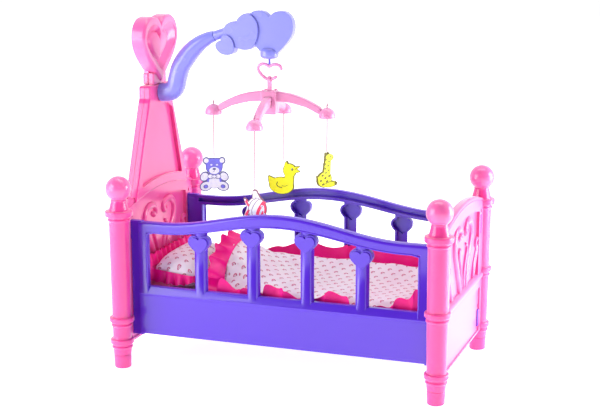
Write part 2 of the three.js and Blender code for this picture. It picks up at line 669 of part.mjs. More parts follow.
cot.add(piece('headboard_panel', endBoard(-1), pink));
cot.add(piece('footboard_panel', endBoard(1), pink));
[['head', -1], ['foot', 1]].forEach(([endName, end]) => {
  [['front', -1], ['rear', 1]].forEach(([sideName, side]) => {
    const [x, y] = [end * POST_X, side * POST_Y];
    const place = `${endName}_${sideName}`;
    cot.add(piece(`post_${place}`, post(x, y, end > 0 ? 118 : 68), pink));
    cot.add(piece(`foot_${place}`, foot(x, y), pink));
    cot.add(piece(`ball_finial_${place}`, ballFinial(x, y), pink));
  });
});
cot.add(piece('side_rail_front', sideRail(-1), violet));
cot.add(piece('side_rail_rear', sideRail(1), violet));
cot.add(piece('tower_front_shell', towerFront(), pink));
cot.add(piece('tower_rear_shell', towerRear(), pink));
SCREWS.forEach(([y, z], i) => cot.add(piece(`tower_screw_${i + 1}`, towerScrew(y, z), steel)));
cot.add(piece('heart_finial', heartFinial(), pink));
cot.add(piece('mobile_arm', mobileArm(), lilac));
cot.add(piece('heart_bracket', heartBracket(), lilac));
cot.add(piece('hanger_pin', hangerPin(), violet));
cot.add(piece('heart_hook', heartHook(), pink));
cot.add(piece('cross_bar_long', longBar(), palePink));
cot.add(piece('cross_bar_short', shortBar(), palePink));
HANGERS.forEach((hanger) => {
  cot.add(piece(`string_cap_${hanger.name}`, cap(hanger), palePink));
  cot.add(piece(`string_${hanger.name}`, hangingString(hanger), palePink));
  cot.add(piece(`figure_${hanger.name}`, figure(hanger), yellow));
});
cot.add(piece('bed_base', bedBase(), violet));
cot.add(piece('mattress', mattress(), cotton));
cot.add(piece('quilt', quilt(), cotton));
cot.add(piece('pillow', pillow(), cotton));

export default cot;
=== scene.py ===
"""Looks for a doll's cot with bedding and a hanging mobile. Lengths are millimetres until a mesh is made."""

import math
import random

import bmesh
import bpy
from mathutils import Matrix, Vector, noise


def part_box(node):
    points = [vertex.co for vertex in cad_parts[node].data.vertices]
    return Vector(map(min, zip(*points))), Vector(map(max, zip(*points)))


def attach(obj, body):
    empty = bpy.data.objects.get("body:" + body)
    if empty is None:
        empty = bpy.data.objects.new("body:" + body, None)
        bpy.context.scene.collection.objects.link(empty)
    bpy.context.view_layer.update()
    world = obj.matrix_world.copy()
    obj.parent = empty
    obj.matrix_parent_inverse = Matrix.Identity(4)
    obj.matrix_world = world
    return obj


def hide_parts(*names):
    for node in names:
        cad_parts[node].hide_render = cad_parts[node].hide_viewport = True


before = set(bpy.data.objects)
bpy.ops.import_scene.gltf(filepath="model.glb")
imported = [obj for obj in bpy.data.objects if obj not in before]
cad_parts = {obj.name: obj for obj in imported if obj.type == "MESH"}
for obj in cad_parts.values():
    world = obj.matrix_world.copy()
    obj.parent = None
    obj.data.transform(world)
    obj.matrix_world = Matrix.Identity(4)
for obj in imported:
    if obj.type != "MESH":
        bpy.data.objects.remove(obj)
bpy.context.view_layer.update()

MM = 0.001
TAU = 2 * math.pi
random.seed(7)

# Driving dimensions, repeated from the CAD model or read from its boxes
POST_X = 220.0
POST_Y = 120.7
FOOT_H = 18.1
POST_TOP = 234.3
BALL_R = 17.2
BALL_Z = 248.2
COLLAR_MID = {"head": 68.0, "foot": 118.0}
BOARD_T = 12.0
ARCH_TOP = 237.5
ARCH_SAG = 0.00133
CROSS_Z = 112.0
RAIL_OUT = 101.0
RAIL_IN = 89.5
RAIL_HALF = 202.0
RAIL_RISE = 20.5
WINDOW_HALF = 190.0
SILL_Z = 110.5
WAVE_HALF = 170.0
TOWER_TOP = 375.0
TOWER_FACE = -211.0
TOWER_SEAM = -220.0
TOWER_BACK = -228.6
NECK_HALF = 34.5
NECK_Z = 352.0
MOBILE_X = -49.2
ARM_REACH = 79.7
CROSS_TURN = math.radians(6.3)
CAP_R = 11.5
CAP_H = 14.0
CAP_RIM = (337.8, 330.8)
STRING_D = 1.4
STRING_EXIT = 1.2
SIDES = {"front": -1, "rear": 1}
ENDS = {"head": -1, "foot": 1}
HANGERS = {
    "bear": {"turn": CROSS_TURN + math.pi, "bar": 0, "top": 278.0, "height": 48.0, "facing": 23.0},
    "fish": {"turn": CROSS_TURN - math.pi / 2, "bar": 1, "top": 252.0, "height": 45.0, "facing": 0.0},
    "giraffe": {"turn": CROSS_TURN, "bar": 0, "top": 291.0, "height": 49.0, "facing": 60.0},
    "duck": {"turn": CROSS_TURN + math.pi / 2, "bar": 1, "top": 262.0, "height": 49.0, "facing": 0.0},
}


def link(obj):
    bpy.context.collection.objects.link(obj)
    return obj


# ---------------------------------------------------------------- camera and light

def make_camera():
    data = bpy.data.cameras.new("camera")
    data.lens = 84.0
    data.sensor_width = 36.0
    camera = link(bpy.data.objects.new("camera", data))
    camera.location = (0.62024, -1.76384, 0.62279)
    camera.rotation_euler = (math.radians(90 - 12.439), 0, math.radians(19.534))
    bpy.context.scene.camera = camera


def area_light(name, location, target, size, power):
    data = bpy.data.lights.new(name, "AREA")
    data.shape = "RECTANGLE"
    data.size, data.size_y = size
    data.energy = power
    light = link(bpy.data.objects.new(name, data))
    light.location = location
    light.visible_camera = False
    light.rotation_euler = (Vector(target) - Vector(location)).to_track_quat("-Z", "Y").to_euler()


def make_light():
    scene = bpy.context.scene
    scene.view_settings.view_transform = "Standard"
    world = bpy.data.worlds.new("white_room")
    scene.world = world
    world.use_nodes = True
    background = world.node_tree.nodes["Background"]
    background.inputs["Color"].default_value = (1, 1, 1, 1)
    links = world.node_tree.links
    direction = world.node_tree.nodes.new("ShaderNodeTexCoord").outputs["Generated"]
    split = world.node_tree.nodes.new("ShaderNodeSeparateXYZ")
    links.new(direction, split.inputs[0])
    strength = world.node_tree.nodes.new("ShaderNodeMapRange")
    for name, value in {"From Min": -0.5, "From Max": 0.2, "To Min": 0.1, "To Max": 1.02}.items():
        strength.inputs[name].default_value = value
    links.new(split.outputs["Y"], strength.inputs["Value"])
    links.new(strength.outputs[0], background.inputs["Strength"])
    middle = (0, 0, 0.2)
    area_light("left_box", (-1.2, -1.15, 0.6), middle, (1.2, 1.2), 24)
    area_light("right_box", (0.9, 0.3, 0.32), (0.22, 0, 0.15), (0.5, 0.6), 9)
    area_light("top_box", (0, 0.1, 1.5), middle, (1.2, 0.5), 6)


# ---------------------------------------------------------------- meshes

def link_temp(bm, name="temp"):
    """The finished mesh in metres, as a linked object."""
    mesh = bpy.data.meshes.new(name)
    bmesh.ops.scale(bm, vec=(MM, MM, MM), verts=bm.verts)
    bmesh.ops.recalc_face_normals(bm, faces=bm.faces)
    bm.to_mesh(mesh)
    bm.free()
    return link(bpy.data.objects.new(name, mesh))


def skin(bm, rings, closed=False):
    """Faces between rings of vertices. A ring may be one point; closed joins the last ring to the first."""
    for low, high in zip(rings, rings[1:] + (rings[:1] if closed else [])):
        count = max(len(low), len(high))
        for k in range(count):
            after = (k + 1) % count
            if len(low) == 1:
                bm.faces.new((low[0], high[after], high[k]))
            elif len(high) == 1:
                bm.faces.new((low[k], low[after], high[0]))
            else:
                bm.faces.new((low[k], low[after], high[after], high[k]))


def tube(rings, capped=True, closed=False):
    """A mesh through matching rings of 3-D points."""
    bm = bmesh.new()
    made = [[bm.verts.new(p) for p in ring] for ring in rings]
    if capped:
        bm.faces.new(made[0])
        bm.faces.new(made[-1][::-1])
    skin(bm, made, closed)
    return link_temp(bm)


def circle(x, y, radius, z, segments):
    turns = [TAU * k / segments for k in range(segments)]
    return [(x + radius * math.cos(a), y + radius * math.sin(a), z) for a in turns]


def bake(obj):
    graph = bpy.context.evaluated_depsgraph_get()
    graph.update()
    mesh = bpy.data.meshes.new_from_object(obj.evaluated_get(graph))
    obj.modifiers.clear()
    obj.data = mesh
    return obj


def drop(obj):
    bpy.data.objects.remove(obj, do_unlink=True)


def round_edges(obj, width, segments):
    bevel = obj.modifiers.new("bevel", "BEVEL")
    bevel.width = width * MM
    bevel.segments = segments
    bevel.limit_method = "ANGLE"
    bevel.angle_limit = math.radians(30)
    bevel.miter_outer = "MITER_ARC"
    return bake(obj)


def boolean(obj, others, operation, crossing=False):
    """crossing says that a tool may cross itself."""
    for other in others:
        modifier = obj.modifiers.new("boolean", "BOOLEAN")
        modifier.operation = operation
        modifier.solver = "EXACT"
        modifier.use_self = crossing
        modifier.object = other
        bake(obj)
        drop(other)
    return obj


def together(objects):
    """Several meshes as one object, with nothing cut."""
    bm = bmesh.new()
    for obj in objects:
        bm.from_mesh(obj.data)
    bm.to_mesh(objects[0].data)
    bm.free()
    for obj in objects[1:]:
        drop(obj)
    return objects[0]


def union(first, *others):
    return boolean(first, others, "UNION")


def cut(obj, *others):
    return boolean(obj, others, "DIFFERENCE")


def fillet(corners, steps=5):
    """A closed outline with its corners rounded; a corner is (a, b) or (a, b, radius)."""
    points = []
    count = len(corners)
    for i, corner in enumerate(corners):
        here = Vector(corner[:2])
        radius = corner[2] if len(corner) > 2 else 0
        if radius <= 0:
            points.append(tuple(here))
            continue
        before = Vector(corners[i - 1][:2]) - here
        after = Vector(corners[(i + 1) % count][:2]) - here
        half = before.angle(after) / 2
        reach = min(radius / math.tan(half), 0.49 * before.length, 0.49 * after.length)
        start = here + before.normalized() * reach
        end = here + after.normalized() * reach
        for k in range(steps + 1):
            t = k / steps
            points.append(tuple(start.lerp(here, t).lerp(here.lerp(end, t), t)))
    return points


def bezier(p0, p1, p2, p3, steps):
    found = []
    for i in range(steps):
        t = i / steps
        a, b, c, d = (1 - t) ** 3, 3 * t * (1 - t) ** 2, 3 * t * t * (1 - t), t ** 3
        found.append(tuple(a * p0[axis] + b * p1[axis] + c * p2[axis] + d * p3[axis] for axis in (0, 1)))
    return found


def heart(w, h, n, m, steps=10, blunt=False):
    """A heart with its tip at (0, 0), half width w, lobes to height h, notch at n and widest at m."""
    waist = (0.5 if blunt else 0.62) * m
    pull = (0.36 * w, 0) if blunt else (0.35 * w, 0.27 * m)
    right = bezier((0, n), (0.1 * w, n + 0.8 * (h - n)), (0.28 * w, h), (0.5 * w, h), steps)
    right += bezier((0.5 * w, h), (0.8 * w, h), (w, m + 0.55 * (h - m)), (w, m), steps)
    right += bezier((w, m), (w, waist), pull, (0, 0), steps)
    left = [(-a, b) for a, b in reversed(right[1:])]
    return right + [(0, 0)] + left


def placed(outline, angle, shift):
    """An outline turned by an angle in radians and then moved."""
    c, s = math.cos(angle), math.sin(angle)
    return [(c * a - s * b + shift[0], s * a + c * b + shift[1]) for a, b in outline]


def slab(outline, low, high, plane, rounding=0.0, segments=3):
    """A flat plate with the given outline; plane names the outline's axes and low, high bound the third."""
    rings = [[(c, a, b) if plane == "YZ" else (a, c, b) for a, b in outline] for c in (low, high)]
    return round_edges(tube(rings), rounding, segments) if rounding else tube(rings)


def block(x0, x1, y0, y1, z0, z1, rounding=0.0, segments=3):
    x0, x1 = sorted((x0, x1))
    y0, y1 = sorted((y0, y1))
    return slab([(y0, z0), (y1, z0), (y1, z1), (y0, z1)], x0, x1, "YZ", rounding, segments)


def lathe(profile, x, y, segments, closed=False):
    """A profile of (radius, z) pairs turned about an upright axis; a closed profile stays off the axis."""
    rings = [[(x, y, z)] if r < 1e-6 else circle(x, y, r, z, segments) for r, z in profile]
    return tube(rings, False, closed)


def turned_profile(corners):
    """An open profile with rounded corners: the first and last points stay as they are."""
    return fillet([corners[0][:2], *corners[1:-1], corners[-1][:2]])


def smooth_path(points, steps):
    """Catmull-Rom through 3-D points."""
    path = [Vector(p) for p in points]
    padded = [2 * path[0] - path[1], *path, 2 * path[-1] - path[-2]]
    found = []
    for i in range(1, len(padded) - 2):
        p0, p1, p2, p3 = padded[i - 1:i + 3]
        for k in range(steps):
            t = k / steps
            found.append(0.5 * (2 * p1 + (p2 - p0) * t + (2 * p0 - 5 * p1 + 4 * p2 - p3) * t * t
                                + (3 * p1 - p0 - 3 * p2 + p3) * t ** 3))
    found.append(path[-1])
    return found


def sweep(path, section, up=Vector((0, 1, 0)), domes=True):
    """A closed tube along a path in a plane whose normal is up.

    section(t) gives the half width in the plane and the half thickness across it, at the fraction t."""
    sides = 20
    dome = 4
    last = len(path) - 1
    lengths = path_lengths(path)
    rings = []
    for i, centre in enumerate(path):
        tangent = (path[min(i + 1, last)] - path[max(i - 1, 0)]).normalized()
        across = tangent.cross(up).normalized()
        half_width, half_depth = section(lengths[i] / lengths[-1])

        def ring(share, shift):
            middle = centre + tangent * shift
            wide, deep = across * half_width * share, up * half_depth * share
            turns = [TAU * k / sides for k in range(sides)]
            return [middle + wide * math.cos(a) + deep * math.sin(a) for a in turns]

        def dome_ring(k, way):
            a = (math.pi / 2) * k / (dome + 0.3)
            return ring(math.cos(a), way * half_width * math.sin(a))

        if i == 0 and domes:
            rings += [dome_ring(k, -1) for k in range(dome, 0, -1)]
        rings.append(ring(1, 0))
        if i == last and domes:
            rings += [dome_ring(k, 1) for k in range(1, dome + 1)]
    return tube(rings)


def path_lengths(path):
    """How far along a path each of its points lies."""
    lengths = [0.0]
    for a, b in zip(path, path[1:]):
        lengths.append(lengths[-1] + (b - a).length)
    return lengths


def finish_piece(obj, name, material, body, nodes, sharp=38):
    """Names a mesh, smooths it and hands it to its body."""
    obj.name = name
    obj.data.name = name
    obj.data.materials.clear()
    obj.data.materials.append(material)
    obj.data.shade_smooth()
    obj.data.set_sharp_from_angle(angle=math.radians(sharp))
    weighted = obj.modifiers.new("weighted", "WEIGHTED_NORMAL")
    weighted.keep_sharp = True
    bake(obj)
    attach(obj, body)
    if nodes:
        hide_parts(*nodes)


def darker(color, share):
    return (*[c * share for c in color[:3]], 1.0)


# ---------------------------------------------------------------- materials

class Nodes:
    """Short calls for building one material's node tree."""

    def __init__(self, name):
        self.material = bpy.data.materials.new(name)
        self.material.use_nodes = True
        self.tree = self.material.node_tree
        self.shader = self.tree.nodes["Principled BSDF"]
        coordinates = self.tree.nodes.new("ShaderNodeTexCoord")
        self.place = coordinates.outputs["Object"]
        self.normal = coordinates.outputs["Normal"]

    def node(self, kind, inputs=None, **settings):
        made = self.tree.nodes.new(kind)
        for key, value in settings.items():
            setattr(made, key, value)
        for key, value in (inputs or {}).items():
            self.put(made.inputs[key], value)
        return made

    def put(self, socket, value):
        if isinstance(value, bpy.types.NodeSocket):
            self.tree.links.new(value, socket)
        else:
            socket.default_value = value

    def noise(self, scale, detail=3.0):
        inputs = {"Scale": scale, "Detail": detail, "Roughness": 0.5, "Vector": self.place}
        return self.node("ShaderNodeTexNoise", inputs).outputs["Fac"]

    def ramp(self, value, low, high, to_low=0.0, to_high=1.0):
        made = self.node("ShaderNodeMapRange", {"Value": value, "From Min": low, "From Max": high,
                                                "To Min": to_low, "To Max": to_high})
        return made.outputs["Result"]

    def math(self, operation, a, b=0.0):
        made = self.node("ShaderNodeMath", operation=operation)
        self.put(made.inputs[0], a)
        self.put(made.inputs[1], b)
        return made.outputs[0]

    def mix(self, factor, a, b):
        made = self.node("ShaderNodeMix", data_type="RGBA")
        self.put(made.inputs["Factor"], factor)
        self.put(made.inputs[6], a)
        self.put(made.inputs[7], b)
        return made.outputs[2]

    def bump(self, height, strength, distance):
        made = self.node("ShaderNodeBump", {"Height": height, "Strength": strength, "Distance": distance})
        self.put(self.shader.inputs["Normal"], made.outputs["Normal"])

    def set(self, **values):
        for key, value in values.items():
            self.put(self.shader.inputs[key.replace("_", " ")], value)


def rgb(red, green, blue):
    """A display colour, 0 to 255, as a linear colour."""
    def linear(v):
        v /= 255
        return v / 12.92 if v <= 0.04045 else ((v + 0.055) / 1.055) ** 2.4
    return (linear(red), linear(green), linear(blue), 1.0)


def moulded_plastic(name, color, pale, roughness, glow):
    """Injection-moulded plastic: faint flow shade, orange peel and a pale, milky sheen."""
    n = Nodes(name)
    cloud = n.ramp(n.noise(12.0, 1.0), 0.1, 0.9)
    n.set(
        Base_Color=n.mix(cloud, color, darker(color, 0.94)),
        Roughness=n.ramp(n.noise(30.0, 2.0), 0.2, 0.8, roughness - 0.02, roughness + 0.03),
        IOR=1.52, Coat_Weight=0.35, Coat_Roughness=0.12,
        Sheen_Weight=0.9, Sheen_Roughness=0.35, Sheen_Tint=pale,
        Subsurface_Weight=glow, Subsurface_Radius=(1.0, 0.5, 0.7), Subsurface_Scale=0.004,
    )
    n.bump(n.noise(420.0, 1.0), 0.012, 0.0003)
    return n.material


def screw_steel():
    n = Nodes("zinc_plated_steel")
    n.set(
        Base_Color=n.mix(n.ramp(n.noise(300.0, 4.0), 0.4, 0.6), (0.5, 0.51, 0.53, 1), (0.36, 0.36, 0.34, 1)),
        Roughness=n.ramp(n.noise(900.0, 3.0), 0.3, 0.7, 0.28, 0.45), Metallic=1.0,
    )
    n.bump(n.noise(1500.0, 2.0), 0.08, 0.0002)
    return n.material


def twisted_yarn(name, color):
    n = Nodes(name)
    wave = n.node("ShaderNodeTexWave", {"Scale": 700.0, "Distortion": 0.6, "Vector": n.place},
                  bands_direction="DIAGONAL").outputs["Fac"]
    n.set(
        Base_Color=n.mix(wave, darker(color, 0.75), color),
        Roughness=n.ramp(n.noise(2000.0, 2.0), 0.3, 0.7, 0.6, 0.8), Sheen_Weight=0.3,
    )
    n.bump(wave, 0.5, 0.0003)
    return n.material


def printed_sheet(name, color, glow=0.3):
    """Ink on a flat plastic sheet: slight mottling, a satin surface and a painted glow, emission in the ink's
    own colour.
    """
    n = Nodes(name)
    n.set(
        Base_Color=n.mix(n.ramp(n.noise(260.0, 4.0), 0.4, 0.65), color, darker(color, 0.86)),
        Roughness=n.ramp(n.noise(90.0, 3.0), 0.3, 0.7, 0.38, 0.52),
        # Painted light: the emission makes the ink glow, though the sheet is no lamp.
        Emission_Color=color, Emission_Strength=glow,
    )
    n.bump(n.noise(1200.0, 2.0), 0.06, 0.0002)
    return n.material


PINK = moulded_plastic("pink_plastic", rgb(246, 70, 158), rgb(255, 218, 240), 0.24, 0.12)
# A lighter copy of the pink plastic for the balls and the heart finial: painted light, standing in for the
# white surroundings reflected on their round faces.
PINK_PAINTED_LIGHTER = moulded_plastic("pink_plastic_painted_lighter", rgb(246, 104, 176), rgb(255, 226, 243), 0.24, 0.12)
PALE_PINK = moulded_plastic("pale_pink_plastic", rgb(240, 150, 200), rgb(255, 236, 246), 0.3, 0.15)
VIOLET = moulded_plastic("violet_plastic", rgb(82, 34, 206), rgb(176, 150, 250), 0.22, 0.05)
LILAC = moulded_plastic("lilac_plastic", rgb(134, 136, 232), rgb(206, 200, 254), 0.26, 0.08)
DEEP_VIOLET = moulded_plastic("deep_violet_plastic", rgb(92, 70, 200), rgb(150, 130, 235), 0.26, 0.05)
STEEL = screw_steel()
YARN = twisted_yarn("pale_pink_yarn", rgb(206, 134, 168))


# ---------------------------------------------------------------- cords

def hanger_place(name):
    turn = HANGERS[name]["turn"]
    return MOBILE_X + ARM_REACH * math.cos(turn), ARM_REACH * math.sin(turn)


def make_string(name):
    hanger = HANGERS[name]
    body = f"{name}_string"
    x, y = hanger_place(name)
    cap_top = CAP_RIM[hanger["bar"]] + CAP_H
    high = cap_top + STRING_EXIT
    low = hanger["top"] + 0.3
    count = 18
    path = [(x, y, high + (low - high) * i / count) for i in range(count + 1)]
    string = tube([circle(*p[:2], STRING_D / 2, p[2], 10) for p in path])
    finish_piece(string, f"string_{name}_yarn", YARN, body, [f"string_{name}"], 60)
    knot_z = cap_top + 1.4
    knot_path = []
    turns = 26
    for i in range(turns + 1):
        t = i / turns
        a = TAU * 1.6 * t
        r = 0.9 * math.sin(math.pi * t) + 0.15
        knot_path.append((x + r * math.cos(a), y + r * math.sin(a), knot_z + 1.8 * t))
    knot_path += [(x + 0.8, y - 0.6, knot_z + 3.2), (x + 1.6, y - 0.4, knot_z + 4.6)]
    lean = Vector((0.1, 1, 0.1)).normalized()
    knot = sweep([Vector(p) for p in knot_path], lambda t: (0.62, 0.62), lean)
    finish_piece(knot, f"knot_{name}", YARN, body, (), 60)


# ---------------------------------------------------------------- posts, feet, finials

def collar(z, r, shaft, half):
    return [
        (shaft, z - half - 6.6, 0.6), (shaft + 1.3, z - half - 5.6, 0.9), (shaft + 1.3, z - half - 3.6, 0.9),
        (shaft, z - half - 2.6, 0.6), (shaft, z - half - 0.2, 0.6), (r - 0.6, z - half + 0.3, 0.8),
        (r, z - half + 1.3, 1.2), (r, z + half - 1.3, 1.2), (r - 0.6, z + half - 0.3, 0.8),
        (shaft, z + half + 0.2, 0.6),
    ]


def post_corners(mid, grow=0.0):
    shaft = 12.6 + 2.2 * (mid - 42) / 160
    corners = [(12, FOOT_H + 0.3, 0.6), *collar(37.5, 16, 13, 3.6), (12.6, 44, 2),
               *collar(mid, 16.8, shaft, 3.4), *collar(215, 18.7, 14.2, 4), (13, 221.5, 2), (11.6, 227, 6),
               (10.5, 232, 3), (10.5, POST_TOP, 0.3)]
    return [(r + grow, z, f) for r, z, f in corners]


def make_post(end_name, side_name):
    x, y = ENDS[end_name] * POST_X, SIDES[side_name] * POST_Y
    place = f"{end_name}_{side_name}"
    profile = turned_profile([(0, FOOT_H + 0.3), *post_corners(COLLAR_MID[end_name]), (0, POST_TOP)])
    finish_piece(lathe(profile, x, y, 72), f"post_{place}_turned", PINK, "cot", [f"post_{place}"])
    foot = turned_profile([(0, 0), (10.6, 0, 0.8), (11.5, 1.2, 1.2), (12, 12, 2), (12, FOOT_H, 0.5),
                           (0, FOOT_H)])
    finish_piece(lathe(foot, x, y, 72), f"foot_{place}_cap", PINK, "cot", [f"foot_{place}"])
    seat = POST_TOP + 0.3
    low = math.asin((seat - BALL_Z) / BALL_R)
    ball = [(0, seat)]
    rings = 30
    for i in range(rings + 1):
        a = low + (math.pi / 2 - low) * i / rings
        ball.append((0 if i == rings else BALL_R * math.cos(a), BALL_Z + BALL_R * math.sin(a)))
    # The ball takes the lighter copy of the pink plastic, painted light.
    finish_piece(lathe(ball, x, y, 72), f"ball_{place}", PINK_PAINTED_LIGHTER, "cot", [f"ball_finial_{place}"])


# ---------------------------------------------------------------- end boards

TAB_Y = (90.0, 98.5)
TABS = ((41, 65), (175, 201))

# Centrelines of the scrollwork on one half of a board, as (y, z)
TALL_SCROLL = [(17, 121), (24, 138), (34, 156), (43.5, 172), (48, 186), (45.5, 198), (36, 205.5), (22, 206),
               (13, 200.5), (12, 194.5), (17, 191.5), (22, 194)]
LOW_SCROLL = [(62, 121), (69, 135), (79, 149), (87, 160), (86, 168), (79, 169), (75, 164), (78, 160.5)]
INNER_LEAF = [(8, 123), (9, 140), (14, 154), (21, 166), (22, 174), (17, 177)]


def arch(y, top):
    return top - ARCH_SAG * y * y


def arched_outline(top, half, bottom, count=40):
    points = [(-half, bottom), (half, bottom)]
    for i in range(count + 1):
        y = half - 2 * half * i / count
        points.append((y, arch(y, top)))
    return points


def mirrored(points, side):
    return [(side * y, z) for y, z in points]


def scroll(points, x, width, thick):
    path = smooth_path([(x, y, z) for y, z in points], 6)
    return sweep(path, lambda t: (width(t), thick), Vector((1, 0, 0)))


def make_board(end_name):
    end = ENDS[end_name]
    x = end * POST_X
    x0, x1 = x - BOARD_T / 2, x + BOARD_T / 2
    board = slab(arched_outline(ARCH_TOP, POST_Y - 4, 29), x0, x1, "YZ", 3.2, 4)
    field = fillet([(*p, 4) if i < 2 else p for i, p in enumerate(arched_outline(217, 84, CROSS_Z + 4, 24))])
    panel = fillet([(-98, 34, 3), (98, 34, 3), (98, 97, 3), (-98, 97, 3)])
    pockets = [slab(field, a, b, "YZ", 1.2, 2) for a, b in ((x0 - 6, x0 + 4), (x1 - 4, x1 + 6))]
    pockets += [slab(panel, a, b, "YZ", 0.8, 2) for a, b in ((x0 - 6, x0 + 1.8), (x1 - 1.8, x1 + 6))]
    cut(board, *pockets)
    bead_path = [Vector((x, y, CROSS_Z)) for y in (-POST_Y + 6, 0, POST_Y - 6)]
    bead = sweep(bead_path, lambda t: (7, 8.2), Vector((1, 0, 0)), domes=False)
    union(board, bead)
    strokes = (
        (TALL_SCROLL, lambda t: 9.6 - 5.2 * t if t > 0.2 else 4.6 + 20 * t, 6.0),
        (LOW_SCROLL, lambda t: 7.6 - 4.0 * t if t > 0.2 else 3.8 + 15 * t, 5.6),
        (INNER_LEAF, lambda t: 5.4 - 2.6 * t, 5.0),
    )
    scrolls = [scroll(mirrored(points, side), x, width, thick) for side in (-1, 1)
               for points, width, thick in strokes]
    boolean(board, [together(scrolls)], "UNION", True)
    grooves = []
    for face in (x0, x1):
        path = [Vector((face, y, arch(y, 232.7))) for y in range(-100, 101, 5)]
        grooves.append(sweep(path, lambda t: (0.8, 0.8), Vector((1, 0, 0)), domes=False))
    inner = x - end * BOARD_T / 2
    for side in (-1, 1):
        tab = [side * y for y in TAB_Y]
        post = post_corners(COLLAR_MID[end_name], 0.3)
        envelope = turned_profile([(0, 10), (12.3, 10), *post, (10.8, 260), (0, 260)])
        grooves.append(lathe(envelope, x, side * POST_Y, 48))
        grooves.append(block(inner, inner - end * 8, side * (RAIL_IN - 1), side * (POST_Y + 9), 100, 124))
        for z0, z1 in TABS:
            for a, b, low, high in ((-0.4, 0.4, z0 - 0.4, z1 + 0.4), (3, -2.5, z1 + 3, z1 + 8)):
                grooves.append(block(x0 - 9, x1 + 9, tab[0] + side * a, tab[1] + side * b, low, high))
    cut(board, *grooves)
    finish_piece(board, f"{end_name}board_moulding", PINK, "cot", [f"{end_name}board_panel"])


# ---------------------------------------------------------------- side rails

BALUSTERS = (-113.0, -37.7, 37.7, 113.0)


def wave(x):
    return 0.5 * (1 + math.cos(math.pi * x / WAVE_HALF)) if abs(x) < WAVE_HALF else 0.0


def band(x_half, y0, y1, z_low, z_high, corner, edge):
    """The wavy top rail as a sweep of a rounded section."""
    count = 80
    rings = []
    for i in range(count + 1):
        x = -x_half + 2 * x_half * i / count
        low = z_low + RAIL_RISE * wave(x)
        high = z_high + (RAIL_RISE + 2) * wave(x)
        section = fillet([(y0, low, edge), (y1, low, edge), (y1, high, corner), (y0, high, edge)], 4)
        rings.append([(x, y, z) for y, z in section])
    return tube(rings)


def make_rail(side_name):
    rail = band(RAIL_HALF, RAIL_IN, RAIL_OUT, 186, 200, 5, 1)
    panel = [(RAIL_IN, 43.5, 1), (RAIL_OUT, 43.5, 1.5), (RAIL_OUT, 98, 0.6), (102, 99, 0.6),
             (102, 101.5, 1.5), (97, SILL_Z, 1.5), (RAIL_IN, SILL_Z, 1)]
    parts = [slab(fillet(panel, 4), -RAIL_HALF, RAIL_HALF, "YZ", 1.6, 3)]
    for end in (-1, 1):
        parts.append(block(end * WINDOW_HALF, end * RAIL_HALF, RAIL_IN, RAIL_OUT, 60, 194, 1.5))
        parts.append(block(end * (RAIL_HALF - 4), end * 213.7, RAIL_IN, TAB_Y[1], 46, 196, 0.6))
        for z0, z1 in TABS:
            parts.append(block(end * (RAIL_HALF - 4), end * (POST_X + BOARD_T / 2), *TAB_Y, z0, z1, 0.8))
    hearts = []
    backs = []
    for x in BALUSTERS:
        top = 192 + RAIL_RISE * wave(x)
        rod = [(x + 9.2 * math.cos(a), 92 + 9 * math.sin(a)) for a in [math.pi * k / 18 for k in range(19)]]
        parts.append(tube([[(a, b, z) for a, b in rod] for z in (97, top)]))
        tip = 161 if abs(x) > 100 else 174.8
        outline = placed(heart(15.6, 26.4, 24.2, 17.6), 0, (x, tip))
        hearts.append(slab(outline, 92, 101.6, "XZ", 3.2, 5))
        plate = placed(heart(13.2, 22.6, 19.6, 15), 0, (x, tip + 1.6))
        hearts.append(slab(plate, 99, 104, "XZ", 1.3, 4))
        back = placed(heart(13.2, 21.5, 19.4, 14.4), 0, (x, tip + 2.8))
        backs.append(slab(back, RAIL_IN - 4, 100.5, "XZ", 1.0, 2))
        backs.append(block(x - 6.6, x + 6.6, RAIL_IN - 4, 97.5, 113, top - 8, 1.5))
    stile = (101, 120, 140, 160, 176, 184)
    border = [(-WINDOW_HALF, z) for z in stile]
    border += [(x, 186.6 + RAIL_RISE * wave(x)) for x in range(-180, 181, 12)]
    border += [(WINDOW_HALF, z) for z in reversed(stile)]
    parts.append(sweep([Vector((x, RAIL_OUT - 0.9, z)) for x, z in border], lambda t: (1.5, 1.5)))
    ledge = block(-WINDOW_HALF, WINDOW_HALF, 84, 92, 51.2, 55.2, 0.6)
    union(rail, *parts, *hearts, ledge)
    channel = band(196, RAIL_IN - 5, 97.5, 190, 196.2, 1, 1)
    hollow = block(-196, 196, RAIL_IN - 5, 98, 62, 94, 2)
    cut(rail, channel, hollow, *backs)
    if SIDES[side_name] < 0:
        for vertex in rail.data.vertices:
            vertex.co.y = -vertex.co.y
        rail.data.flip_normals()
    finish_piece(rail, f"rail_{side_name}_moulding", VIOLET, "cot", [f"side_rail_{side_name}"])


# ---------------------------------------------------------------- tower and finial

def tower_half(z):
    """Half width of the tower at a height."""
    return 87 - 0.388 * (z - 225) if z < NECK_Z + 3 else NECK_HALF


def tower_outline():
    points = []
    half = tower_half(228)
    count = 24
    for i in range(count + 1):
        y = -half + 2 * half * i / count
        points.append((y, arch(y, ARCH_TOP) - 6))
    shoulder = tower_half(NECK_Z)
    points += [(shoulder, NECK_Z, 4), (NECK_HALF, NECK_Z + 6, 4), (NECK_HALF, TOWER_TOP, 5),
               (-NECK_HALF, TOWER_TOP, 5), (-NECK_HALF, NECK_Z + 6, 4), (-shoulder, NECK_Z, 4)]
    return fillet(points)


def board_room():
    return slab(arched_outline(ARCH_TOP + 0.3, POST_Y, 29), -POST_X - 6.3, -POST_X + 6.3, "YZ")


SCREWS = ((-52, 262), (52, 262), (-30, 330), (30, 330))


def along_x(radius, x0, x1, y, z):
    """A rod that lies along X, from x0 to x1."""
    rod = lathe([(0, x0), (radius, x0), (radius, x1), (0, x1)], 0, 0, 32)
    for vertex in rod.data.vertices:
        a, b, c = vertex.co
        vertex.co = (c, a + y * MM, b + z * MM)
    return rod


